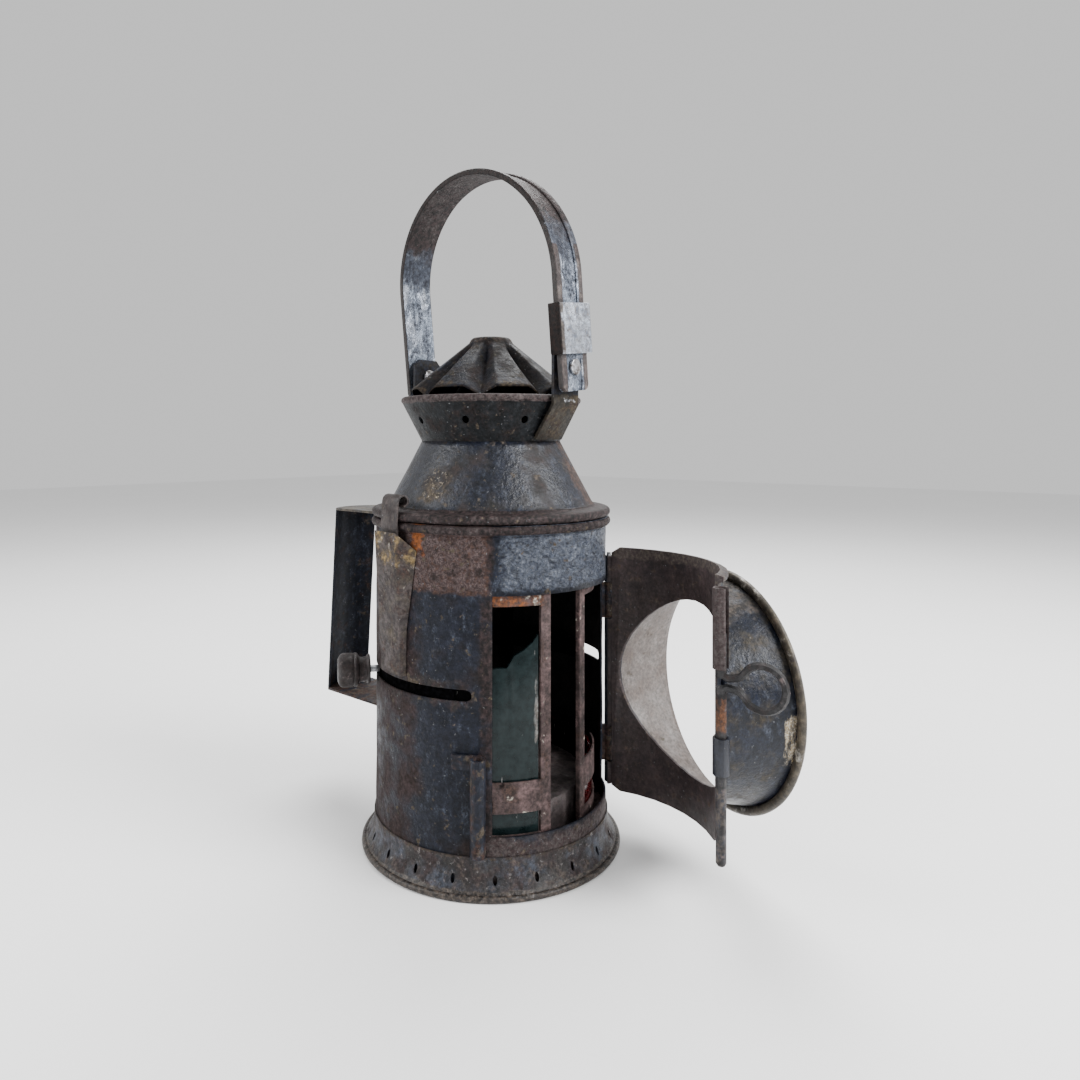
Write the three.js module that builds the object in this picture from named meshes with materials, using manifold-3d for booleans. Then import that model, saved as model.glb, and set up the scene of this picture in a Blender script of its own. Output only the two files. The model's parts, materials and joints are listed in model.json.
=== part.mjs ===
// Railway hand-signal lantern, shown with its lens door open.
// A round sheet-metal barrel holds an oil font and two curved colour shades that are
// swung across the doorway by knobs in the barrel wall. The lens door carries a flared
// hood and a drop-rod latch, and the hinged lid carries the vent cap and the carrying bail.
// Millimetres and degrees. +Z is up, the origin is the middle of the underside, and the
// lens of the closed door looks along -Y. A bearing is counted from -Y towards +X.
import * as THREE from "three";
import { mergeVertices } from "three/addons/utils/BufferGeometryUtils.js";
import Module from "manifold-3d";

const wasm = await Module();
wasm.setup();

// Sheet and fits
const SHEET = 1.0; // tinplate, as soldered and painted
const GAP = 0.3; // between pieces that meet
const PIN_PLAY = 0.2; // pin in its knuckle, on the radius
const ROUND = 40; // facets round the barrel
const INNER_ROUND = 28; // facets round what is hidden inside it
const SMALL_ROUND = 10; // facets round a pin or tube
const ARC_STEP = 10; // bearing between the facets of a part ring

// Barrel and base
const BARREL_R = 54;
const BARREL_TOP = 151;
const RIM_ROLL = 2; // how far a rolled rim stands out
const BASE_FLARE = 6.5; // foot beyond the barrel
const FOOT_ROLL = 1.4;
const SKIRT_CURVE = 11; // height over which the skirt curves out
const SKIRT_SWELL = 0.5; // half way down that curve
const SKIRT_TOP = 16;
const DOORWAY_BOTTOM = 23.7;
const DOORWAY_TOP = 122.2;
const BASE_VENTS = 20;
const BASE_VENT_Z = 7.3;
const BASE_VENT_R = 0.9;

// Colour shades
const SLOT_Z = 81.3;
const SLOT_HEIGHT = 5;
const GREEN_SLOT_START = 9; // bearing past the doorway's edge
const RED_SLOT_START = 3;
const SLOT_BACK_GAP = 13; // bearing left between a slot and the middle of the back
const GREEN_SPAN = 103; // bearing from the leading bar to the bar with the knob
const RED_SPAN = 112.5;
const SHADE_PLAY = 0.7; // between neighbouring shades, and to the barrel
const SHADE_BOTTOM = 16.7;
const SHADE_TOP = 128.6;
const FRAME_SHEET = 0.8;
const FRAME_RAIL_TOP = 11;
const FRAME_RAIL_BOTTOM = 7;
const FRAME_BAND_Z = 32.5;
const FRAME_BAND = 12.8;
const SHUTTER_LAP = 2; // band behind the slot, above and below it
const SHUTTER_FRONT = 60; // bearing that it covers ahead of the knob
const GREEN_SHUTTER_BACK = 28;
const RED_SHUTTER_BACK = 47;
const BAR_WIDTH = 4.6;
const BAR_DEPTH = 2;
const PANE = 2; // glass thickness
const PANE_EDGE = 0.8; // bearing left between the pane and a bar
const PANE_INSET = 2; // pane inside the top and bottom of the frame
const GREEN_EDGE = -22.5; // bearing of the green shade's leading bar at rest
const RED_EDGE = 7.5;
const GREEN_BREAK = 91; // lowest point of the green pane's broken edge
const GREEN_BREAK_END = 28; // bearing from the leading bar over which it is jagged
const RED_BREAK = 45; // what is left of the red pane
const RED_BREAK_END = 25;
const BREAK_SEEN = 13; // bearing from the leading bar at which a jagged edge is drawn
const TRACK_WIDTH = 7.5;
const KNOB_R = 7.6;
const KNOB_NECK_R = 5.6;
const KNOB_LENGTH = 14.5;
const KNOB_NECK = 6.1; // length of the neck
const KNOB_FLANGE = 1; // collar at the root, round the neck
const KNOB_EDGE = 2; // bevel at the end
const STEM_R = 1.6;

// Lens door, hinge and latch
const LENS_INSET = 13; // hood's bore inside the barrel's outline
const DOORWAY_MARGIN = 0.6; // doorway beyond the bore, on each side
const LENS_Z = 75.5;
const HOOD_FLARE = 7.5;
const HOOD_LAP = 6; // depth that the hood is drawn behind the door's edge before it is fitted
const HOOD_REACH = 14.5; // rim beyond the front of the door
const HOOD_WIRE = 1.6;
const DOOR_OPEN = 61.5;
const DOOR_OVERLAP_TOP = 12.3;
const DOOR_OVERLAP_BOTTOM = 6.2;
const DOOR_STAND_OFF = 1; // door skin clear of the barrel
const DOOR_HEM = 2.2;
const DOOR_CORNER_RISE = 15.5;
const DOOR_CORNER_RUN = 25;
const HINGE_STAND_OFF = 4.2;
const HINGE_SETBACK = 3.5; // bearing past the doorway's edge
const ROD_SETBACK = 5.8;
const DOOR_CHAMFER = 3.5; // corners at the hinge
const DOOR_LATCH_EDGE = 3.5; // bearing at which the skin stops short of the latch tubes
const DOOR_HINGE_EDGE = 2; // and short of the hinge pin
const KNUCKLE_INSET = 3; // lowest knuckle above the door's edge
const LENS_LIP = 1.5; // door skin inside the hood's bore
const HINGE_PIN_R = 1;
const PIN_END = 1.5; // pin beyond the last knuckle
const KNUCKLE_WALL = 1;
const LUG_HEIGHT = 17;
const LUG_LOW = 31;
const LUG_HIGH = 100;
const LUG_LEAF = 11; // bearing that a lug's leaf runs round the barrel
const LUG_WEB = [-0.7, 1.2]; // bearing of its web, either side of the pin
const ROD_R = 2;
const ROD_BOTTOM = 25; // lower end of the latch rod as it hangs
const ROD_TOP = 113;
const GUIDE_WALL = 0.9;
const GUIDE_LOW = 59.4;
const GUIDE_LOW_HEIGHT = 14;
const GUIDE_HIGH = 99.6;
const GUIDE_HIGH_HEIGHT = 30.7;
const KEEPER_BOTTOM = 18;
const KEEPER_TOP = 57.5;
const KEEPER_WEB = 1.5; // bearing on each side of the rod
const KEEPER_TAB = 12; // bearing of the soldered tab
const KEEPER_TAB_HEIGHT = 6;
const FINGER_RING_R = 8.4; // centre line
const FINGER_RING_REACH = 15.6; // ring's centre from the rod
const FINGER_RING_Z = 94.5;
const FINGER_WIRE = 1.5;
const FINGER_NECK_REACH = 2.5; // where the ring's neck leaves the rod
const RING_STEPS = 24; // facets along the ring's wire

// Rear handle
const HANDLE_WIDTH = 28;
const HANDLE_BULGE = 6;
const HANDLE_SHEET = 1.2;
const HANDLE_TOP = 149;
const HANDLE_BOTTOM = 49;
const HANDLE_REACH_TOP = 46; // side edge of the grip from the barrel
const HANDLE_REACH_BOTTOM = 53;

// Lid, vent and lid catch
const LEDGE_INSET = 5.6;
const WAIST_R = 32.6;
const WAIST_Z = 185.5;
const COLLAR_R = 42.4;
const COLLAR_TOP = 206;
const COLLAR_ROLL = 1.6;
const COLLAR_HOLES = 9;
const COLLAR_HOLE_R = 1.6;
const COLLAR_HOLE_Z = 195;
const COLLAR_HOLE_FIRST = 14.4;
const FLUE_R = 24;
const CAP_TOP = 234.4;
const CAP_TOP_R = 10.4; // crown
const CAP_CROWN_DROP = 2.7; // its rounded edge
const CAP_R = 38;
const CAP_LOBES = 8;
const CAP_LOBE_LIFT = 4.2;
const CAP_PINCH = 1.5; // how far the pleats draw in
const CAP_LOBE_FIRST = 11.5;
const CAP_FLAT = 0.5; // flat share of a lobe
const CAP_PLEAT_FULL = 0.42; // share of the slope at which a pleat has its full depth
const CATCH_BEARING = -98.5;
const POCKET_BOTTOM = 86;
const POCKET_TOP = 147;
const POCKET_FACE = [15, 16]; // width of its face, at the bottom and the top
const POCKET_SEAT = [17, 30]; // width where it meets the barrel
const POCKET_FLANGE_DROP = 9;
const POCKET_SINK = 3; // drawn this far into the barrel before it is fitted
const POCKET_DEPTH_TOP = 5.4;
const POCKET_DEPTH_BOTTOM = 2.2;
const SPRING_WIDTH = 12;
const SPRING_SHEET = 0.8;
const SPRING_FOOT = 14; // above the pocket's floor
const SCROLL_R = 2.8;
const SCROLL_RISE = 1.7; // scroll above the lid's rim
const SCROLL_TURN = 270;
const SCROLL_TIGHTEN = 0.25; // share of its radius lost along the turn
const LID_HINGE_WIDTH = 18;
const LID_PIN_R = 0.9;
const LID_HINGE_RISE = 1.3; // pin above the underside of the lid
const LID_LEAF = 16; // barrel leaf below the rim
const LID_LEAF_BEND = 3;

// Carrying bail
const PIVOT_Z = 218;
const EAR_SHEET = 1.5;
const EAR_WIDTH = 18;
const EAR_RISE = 8.5; // ear above the pivot
const EAR_FOOT_RISE = 1.2; // foot above the waist
const EAR_FOOT_WIDTH = 19;
const EAR_CORNER = 3;
const WASHER = 1.5; // thickness
const WASHER_R = 5.2;
const RIVET_R = 2;
const RIVET_HEAD_R = 3.6;
const RIVET_HEAD = 1.4;
const STRAP_WIDTH = 19.5;
const STRAP_SHEET = 1.6;
const STRAP_HEM = 1;
const STRAP_HEM_WIDTH = 4.5;
const STRAP_TAIL = 10.5; // strap below the pivot
const BAIL_SPRING_Z = 258;
const BAIL_TOP = 310.7;
const BAIL_LEAN = 6;
const SLEEVE_RISE = 5.6; // sleeve's lower edge above the pivot
const SLEEVE_HEIGHT = 22;
const SLEEVE_WALL = 1.3;
const SLEEVE_PLAY = 0.4; // round the strap

// Oil font and burner
const FONT_PLAY = 2.2; // between the font and the shade tracks
const FONT_SHOULDER = 31;
const FONT_WALL = 0.8;
const FONT_DOME = 3.5; // rise from the shoulder to the neck
const NECK_R = 12.5;
const NECK_TOP = 40;
const BURNER_WALL = 1.6;
const BURNER_TOP = 48;
const BURNER_ROOF = 1.2;
const BURNER_EDGE = [5, 3]; // sloping edge, across and down
const BURNER_LIFT = 2; // skirt above the font
const WICK_TUBE_TOP = 66;
const WICK_TUBE_WIDTH = 12.4;
const WICK_TUBE_DEPTH = 4.2;
const WICK_TUBE_WALL = 0.6;
const WICK_TOP = 69;
const WICK_DIP = 10; // lower end below the font's shoulder

// Places that follow from the sizes above
const barrelInside = BARREL_R - SHEET;
const barrelBottom = SHEET;
const baseR = BARREL_R + BASE_FLARE;
const lensR = BARREL_R - LENS_INSET;
const hoodRimR = lensR + HOOD_FLARE;
const ledgeR = BARREL_R - LEDGE_INSET;
const trackOutside = barrelInside - GAP;
const trackInside = trackOutside - TRACK_WIDTH;
const fontR = trackInside - FONT_PLAY;
const rimR = BARREL_R + RIM_ROLL;
const doorInside = BARREL_R + DOOR_STAND_OFF;
const doorOutside = doorInside + SHEET;
const doorBottom = DOORWAY_BOTTOM - DOOR_OVERLAP_BOTTOM;
const doorTop = DOORWAY_TOP + DOOR_OVERLAP_TOP;
const hemStart = doorTop - 1.6 * DOOR_HEM;
const knuckleLow = doorBottom + KNUCKLE_INSET;
const knuckleHigh = hemStart - SHEET;
const doorwayHalf = THREE.MathUtils.radToDeg(Math.asin((lensR + DOORWAY_MARGIN) / doorOutside));
const hingeR = BARREL_R + HINGE_STAND_OFF;
const hingeBearing = doorwayHalf + HINGE_SETBACK;
const knuckleBore = HINGE_PIN_R + PIN_PLAY;
const knuckleR = knuckleBore + KNUCKLE_WALL;
const guideBore = ROD_R + GAP;
const guideR = guideBore + GUIDE_WALL;
const rodAxisR = BARREL_R + guideR + DOOR_STAND_OFF;
const rodBearing = -(doorwayHalf + ROD_SETBACK);
const lidBottom = BARREL_TOP + GAP;
const lidHingeR = rimR + GAP + LID_PIN_R + PIN_PLAY + KNUCKLE_WALL;
const lidHingeZ = lidBottom + LID_HINGE_RISE;
const lidKnuckleR = LID_PIN_R + PIN_PLAY + KNUCKLE_WALL;
const earInside = COLLAR_R + GAP;
const earOutside = earInside + EAR_SHEET;
const strapInside = earOutside + WASHER + 2 * GAP;
const strapOutside = strapInside + STRAP_SHEET;
const hemOutside = strapOutside + STRAP_HEM;
const deckTop = COLLAR_TOP - COLLAR_ROLL;

const rad = THREE.MathUtils.degToRad;

// Point at a radius and bearing
function spot(radius, bearing, z = 0) {
  return new THREE.Vector3(radius * Math.sin(rad(bearing)), -radius * Math.cos(rad(bearing)), z);
}

// Closed geometry as a solid, with its faces turned outwards
function asSolid(shape) {
  if (!shape.isBufferGeometry) return shape;
  const bare = new THREE.BufferGeometry();
  bare.setAttribute("position", shape.getAttribute("position").clone());
  if (shape.index) bare.setIndex(shape.index.clone());
  const welded = mergeVertices(bare, 1e-4);
  const corners = [];
  for (let i = 0; i < welded.index.count; i += 3) {
    const [a, b, c] = [0, 1, 2].map((k) => welded.index.getX(i + k));
    if (a !== b && b !== c && c !== a) corners.push([a, b, c]);
  }
  const vertProperties = new Float32Array(welded.getAttribute("position").array);
  const build = (faces) => {
    const triVerts = Uint32Array.from(faces.flat());
    return new wasm.Manifold(new wasm.Mesh({ numProp: 3, vertProperties, triVerts }));
  };
  const body = build(corners);
  return body.volume() < 0 ? build(corners.map(([a, b, c]) => [a, c, b])) : body;
}

const join = (...shapes) => shapes.map(asSolid).reduce((whole, next) => whole.add(next));
const cut = (shape, ...tools) => tools.map(asSolid).reduce((rest, tool) => rest.subtract(tool), asSolid(shape));
const common = (shape, other) => asSolid(shape).intersect(asSolid(other));

function asGeometry(shape) {
  const { vertProperties, triVerts } = asSolid(shape).getMesh();
  const geometry = new THREE.BufferGeometry();
  geometry.setAttribute("position", new THREE.BufferAttribute(vertProperties, 3));
  geometry.setIndex(new THREE.BufferAttribute(triVerts, 1));
  geometry.computeVertexNormals();
  return geometry;
}

function piece(parent, name, material, shape) {
  const mesh = new THREE.Mesh(asGeometry(shape), material);
  mesh.name = name;
  parent.add(mesh);
  return mesh;
}

// Profile of [radius, height] points turned about Y
function turn(profile, facets = ROUND) {
  const points = profile.map(([r, h]) => new THREE.Vector2(r, h));
  if (profile[0][0] > 0) points.push(points[0].clone());
  return new THREE.LatheGeometry(points, facets);
}

// The same about Z
const revolve = (profile, facets) => turn(profile, facets).rotateX(Math.PI / 2);

const bar = (r, z0, z1, facets = SMALL_ROUND) => revolve([[0, z0], [r, z0], [r, z1], [0, z1]], facets);
const ring = (rIn, rOut, z0, z1, facets) => revolve([[rIn, z0], [rOut, z0], [rOut, z1], [rIn, z1]], facets);

function outline(points) {
  return new THREE.Shape(points.map(([x, y]) => new THREE.Vector2(x, y)));
}

function rectangle(x0, x1, y0, y1) {
  return outline([[x0, y0], [x1, y0], [x1, y1], [x0, y1]]);
}

function prism(shape, z0, z1, curveSegments = 12) {
  const options = { depth: z1 - z0, bevelEnabled: false, curveSegments };
  return new THREE.ExtrudeGeometry(shape, options).translate(0, 0, z0);
}

// Part of a ring between two bearings, or a slice of pie when the inner radius is 0
function sector(rIn, rOut, from, to, z0, z1) {
  const [a, b] = [rad(from - 90), rad(to - 90)];
  const shape = new THREE.Shape();
  if (rIn === 0) {
    shape.moveTo(0, 0);
    shape.lineTo(rOut * Math.cos(a), rOut * Math.sin(a));
  }
  shape.absarc(0, 0, rOut, a, b, false);
  if (rIn > 0) shape.absarc(0, 0, rIn, b, a, true);
  return prism(shape, z0, z1, Math.max(2, Math.ceil((to - from) / ARC_STEP)));
}

// Outline drawn as [radius, height], given a width and stood at a bearing
function radialPlate(shape, width, bearing, curveSegments = 6) {
  const basis = new THREE.Matrix4().makeBasis(
    new THREE.Vector3(0, -1, 0), new THREE.Vector3(0, 0, 1), new THREE.Vector3(-1, 0, 0));
  return prism(shape, -width / 2, width / 2, curveSegments).applyMatrix4(basis).rotateZ(rad(bearing));
}

// The same shifted along the width
function shiftedPlate(shape, from, to, bearing, curveSegments) {
  const along = spot((from + to) / 2, bearing + 90);
  return radialPlate(shape, to - from, bearing, curveSegments).translate(along.x, along.y, 0);
}

// Strip of sheet along a line of points, as an outline
function ribbon(points, thickness) {
  const line = points.map(([x, y]) => new THREE.Vector2(x, y));
  const side = (sign) => line.map((p, i) => {
    const before = line[Math.max(i - 1, 0)];
    const after = line[Math.min(i + 1, line.length - 1)];
    const run = after.clone().sub(before).normalize();
    return new THREE.Vector2(p.x - sign * run.y * thickness / 2, p.y + sign * run.x * thickness / 2);
  });
  return new THREE.Shape([...side(1), ...side(-1).reverse()]);
}

// Outline of [distance across, height], pushed outwards from the middle along a bearing
function seenAlong(shape, bearing) {
  return prism(shape, 0, 2 * BARREL_R).rotateX(Math.PI / 2).rotateZ(rad(bearing));
}

// Block between an inner and an outer face, each of four points in the same order
function block(inner, outer) {
  const geometry = new THREE.BufferGeometry().setFromPoints([...inner, ...outer]);
  const sides = [0, 1, 2, 3].flatMap((k) => {
    const n = (k + 1) % 4;
    return [k, n, n + 4, k, n + 4, k + 4];
  });
  geometry.setIndex([0, 2, 1, 0, 3, 2, 4, 5, 6, 4, 6, 7, ...sides]);
  return geometry;
}

function circle(x, y, r) {
  const shape = new THREE.Shape();
  shape.absarc(x, y, r, 0, 2 * Math.PI, false);
  return shape;
}

// Round bar along a bearing, between two radii
function radialBar(r, from, to, bearing, z, facets = 8) {
  return turn([[0, from], [r, from], [r, to], [0, to]], facets)
    .rotateZ(rad(bearing + 180)).translate(0, 0, z);
}

function finish(color, roughness, metalness, opacity = 1) {
  return new THREE.MeshStandardMaterial({ color, roughness, metalness, opacity, transparent: opacity < 1 });
}

const paint = finish(0x2b2d36, 0.55, 0.4);
const darkPaint = finish(0x1c1d22, 0.6, 0.4);
const rust = finish(0x5a463f, 0.85, 0.3);
const wornSteel = finish(0x83868c, 0.45, 0.8);
const brownMetal = finish(0x6d5f4e, 0.5, 0.7);
const greyTin = finish(0x77777a, 0.5, 0.7);
const brass = finish(0x9a7f4a, 0.4, 0.8);
const cotton = finish(0xc9c2b2, 0.95, 0);
const greenGlass = finish(0x2f5f57, 0.1, 0, 0.5);
const redGlass = finish(0x7c1518, 0.1, 0, 0.5);

const lantern = new THREE.Group();

// A group whose contents are drawn in the lantern's frame and then turned about a point
function turnedGroup(parent, pivot, axis, degrees) {
  const outer = new THREE.Group();
  outer.position.copy(pivot);
  outer.setRotationFromAxisAngle(axis, rad(degrees));
  const inner = new THREE.Group();
  inner.position.copy(pivot).negate();
  outer.add(inner);
  parent.add(outer);
  return inner;
}

const upright = new THREE.Vector3(0, 0, 1);
const doorGroup = turnedGroup(lantern, spot(hingeR, hingeBearing), upright, DOOR_OPEN);
const bailGroup = turnedGroup(
  lantern, new THREE.Vector3(0, 0, PIVOT_Z), new THREE.Vector3(0, -1, 0), BAIL_LEAN);

// Rolled rim from z0 up to z1, standing out by reach from the skin at radius r
function rolledRim(r, reach, z0, z1) {
  const height = z1 - z0;
  return [[r, z0], [r + reach, z0 + 0.25 * height], [r + reach, z0 + 0.75 * height], [r, z1]];
}

function buildBarrel() {
  const skin = revolve([
    [barrelInside, barrelBottom], [BARREL_R, barrelBottom],
    ...rolledRim(BARREL_R, RIM_ROLL, BARREL_TOP - 2 * RIM_ROLL, BARREL_TOP),
    [barrelInside, BARREL_TOP]]);
  const reach = 2 * BARREL_R;
  const doorway = sector(0, reach, -doorwayHalf, doorwayHalf, DOORWAY_BOTTOM, DOORWAY_TOP);
  const slotHalf = SLOT_HEIGHT / 2;
  const roundEnd = THREE.MathUtils.radToDeg(slotHalf / BARREL_R);
  const slot = (from, to) => join(
    sector(0, reach, from + roundEnd, to - roundEnd, SLOT_Z - slotHalf, SLOT_Z + slotHalf),
    radialBar(slotHalf, 0, reach, from + roundEnd, SLOT_Z),
    radialBar(slotHalf, 0, reach, to - roundEnd, SLOT_Z));
  const slotBack = 180 - SLOT_BACK_GAP;
  const redSlot = slot(doorwayHalf + RED_SLOT_START, slotBack);
  const greenSlot = slot(-slotBack, -doorwayHalf - GREEN_SLOT_START);
  piece(lantern, "barrel", paint, cut(skin, doorway, redSlot, greenSlot));
}

function buildBase() {
  const middle = baseR - FOOT_ROLL;
  const bead = [];
  for (let k = 0; k <= 3; k++) {
    const turned = 110 - 103 * k;
    bead.push([middle + FOOT_ROLL * Math.cos(rad(turned)), FOOT_ROLL + FOOT_ROLL * Math.sin(rad(turned))]);
  }
  // The sheet hugs the barrel and then curves out to the rolled foot
  const skirtInside = BARREL_R + GAP;
  const bend = [[SKIRT_SWELL, SKIRT_TOP - SKIRT_CURVE / 2], [BASE_FLARE / 2 - SHEET, SKIRT_TOP - SKIRT_CURVE]];
  const inner = [[skirtInside, SKIRT_TOP], ...bend.map(([out, z]) => [skirtInside + out, z])];
  const outer = inner.map(([r, z]) => [r + SHEET, z]);
  const skirt = revolve([...outer, ...bead, ...inner.reverse()]);
  const vents = [];
  for (let k = 0; k < BASE_VENTS; k++) {
    const bearing = (k + 0.4) * 360 / BASE_VENTS;
    vents.push(radialBar(BASE_VENT_R, skirtInside, baseR, bearing, 0, 6)
      .scale(1, 1, 2).translate(0, 0, BASE_VENT_Z));
  }
  piece(lantern, "base_skirt", paint, cut(skirt, ...vents));
  piece(lantern, "base_plate", darkPaint, bar(middle - FOOT_ROLL - GAP, 0, SHEET, ROUND));
}

function buildKeeper() {
  const axis = spot(rodAxisR, rodBearing);
  const tube = bar(guideR, KEEPER_BOTTOM, KEEPER_TOP).translate(axis.x, axis.y, 0);
  const bore = bar(guideBore, 0, BARREL_TOP).translate(axis.x, axis.y, 0);
  const seat = BARREL_R + GAP;
  const webEnd = rodBearing + KEEPER_WEB;
  const web = sector(seat, rodAxisR, rodBearing - KEEPER_WEB, webEnd, KEEPER_BOTTOM, KEEPER_TOP);
  const tab = sector(seat, seat + SHEET, rodBearing - KEEPER_TAB, webEnd,
    KEEPER_TOP - KEEPER_TAB_HEIGHT, KEEPER_TOP);
  piece(lantern, "latch_keeper", paint, cut(join(tube, web, tab), bore));
}

function buildRearHandle() {
  const half = HANDLE_WIDTH / 2;
  const arcR = (half ** 2 + HANDLE_BULGE ** 2) / (2 * HANDLE_BULGE);
  const spread = Math.asin(half / arcR);
  const [left, right] = [Math.PI / 2 + spread, Math.PI / 2 - spread];
  const plate = (reach, z, seat) => {
    const edge = BARREL_R + reach;
    const shape = new THREE.Shape();
    shape.moveTo(-half, 0);
    shape.lineTo(half, 0);
    shape.absarc(0, edge + HANDLE_BULGE - arcR, arcR, right, left, false);
    return cut(prism(shape, z, z + HANDLE_SHEET, 8), bar(seat + GAP, 0, BARREL_TOP, ROUND));
  };
  const topPlate = HANDLE_TOP - HANDLE_SHEET;
  piece(lantern, "handle_top_plate", paint, plate(HANDLE_REACH_TOP, topPlate, rimR));
  piece(lantern, "handle_bottom_plate", paint, plate(HANDLE_REACH_BOTTOM, HANDLE_BOTTOM, BARREL_R));

  const gripShape = new THREE.Shape();
  const centre = BARREL_R + HANDLE_REACH_TOP + HANDLE_BULGE - arcR;
  gripShape.absarc(0, centre, arcR, right, left, false);
  gripShape.absarc(0, centre, arcR - HANDLE_SHEET, left, right, true);
  const lean = (HANDLE_REACH_BOTTOM - HANDLE_REACH_TOP) / (topPlate - HANDLE_BOTTOM - HANDLE_SHEET);
  const slant = new THREE.Matrix4().set(
    1, 0, 0, 0,
    0, 1, -lean, lean * topPlate,
    0, 0, 1, 0,
    0, 0, 0, 1);
  const grip = prism(gripShape, HANDLE_BOTTOM + HANDLE_SHEET, topPlate, 8).applyMatrix4(slant);
  piece(lantern, "handle_grip", darkPaint, grip);
}

function buildCatch() {
  const barrelRoom = bar(BARREL_R + GAP, 0, BARREL_TOP, ROUND);
  const inset = BARREL_R - POCKET_SINK;
  const along = spot(1, CATCH_BEARING + 90);
  const corner = (r, across, z) => spot(r, CATCH_BEARING, z).addScaledVector(along, across);
  const four = (radii, widths, heights, wall) => [[-1, 0], [1, 0], [1, 1], [-1, 1]].map(([side, end]) =>
    corner(radii[end], side * (widths[end] / 2 - wall), heights[end]));
  const shell = (wall, bottom, top, innerTop) => block(
    four([inset, inset], POCKET_SEAT, [bottom, innerTop], wall),
    four([POCKET_DEPTH_BOTTOM, POCKET_DEPTH_TOP].map((depth) => BARREL_R + depth - wall), POCKET_FACE,
      [bottom, top], wall));
  const mouth = POCKET_TOP + SHEET;
  const pocket = cut(
    shell(0, POCKET_BOTTOM, POCKET_TOP, POCKET_TOP - POCKET_FLANGE_DROP),
    shell(SHEET, POCKET_BOTTOM + SHEET, mouth, mouth), barrelRoom);
  piece(lantern, "catch_pocket", rust, pocket);

  // The spring stands in the pocket, passes both rims and curls in over the lid's rim
  const clear = rimR + GAP + SPRING_SHEET / 2;
  const foot = POCKET_BOTTOM + SPRING_FOOT;
  const footR = BARREL_R + 2 * GAP + SPRING_SHEET / 2;
  const scrollZ = lidBottom + 2 * RIM_ROLL + SCROLL_R + SCROLL_RISE;
  const scrollCentre = clear - SCROLL_R - GAP;
  const line = [[footR, foot], [clear, BARREL_TOP - 2 * RIM_ROLL - SHEET], [clear + GAP, BARREL_TOP],
    [clear, scrollZ - SCROLL_R]];
  for (let turned = 0; turned <= SCROLL_TURN; turned += 30) {
    const tighter = SCROLL_R * (1 - SCROLL_TIGHTEN * turned / SCROLL_TURN);
    line.push([scrollCentre + tighter * Math.cos(rad(turned)), scrollZ + tighter * Math.sin(rad(turned))]);
  }
  const spring = radialPlate(ribbon(line, SPRING_SHEET), SPRING_WIDTH, CATCH_BEARING);
  piece(lantern, "catch_spring", rust, spring);
}

function buildDoorHinge() {
  const axis = spot(hingeR, hingeBearing);
  const bore = bar(knuckleBore, 0, BARREL_TOP).translate(axis.x, axis.y, 0);
  const seat = BARREL_R + GAP;
  const lug = (z) => {
    const knuckle = bar(knuckleR, z, z + LUG_HEIGHT).translate(axis.x, axis.y, 0);
    const leaf = sector(seat, seat + SHEET, hingeBearing, hingeBearing + LUG_LEAF, z, z + LUG_HEIGHT);
    const [webFrom, webTo] = LUG_WEB.map((turned) => hingeBearing + turned);
    const web = sector(seat, hingeR, webFrom, webTo, z, z + LUG_HEIGHT);
    return cut(join(knuckle, leaf, web), bore);
  };
  piece(lantern, "hinge_lug_lower", paint, lug(LUG_LOW));
  piece(lantern, "hinge_lug_upper", paint, lug(LUG_HIGH));
  const pin = bar(HINGE_PIN_R, knuckleLow - PIN_END, knuckleHigh + PIN_END, 12);
  piece(lantern, "door_hinge_pin", wornSteel, pin.translate(axis.x, axis.y, 0));
}

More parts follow.
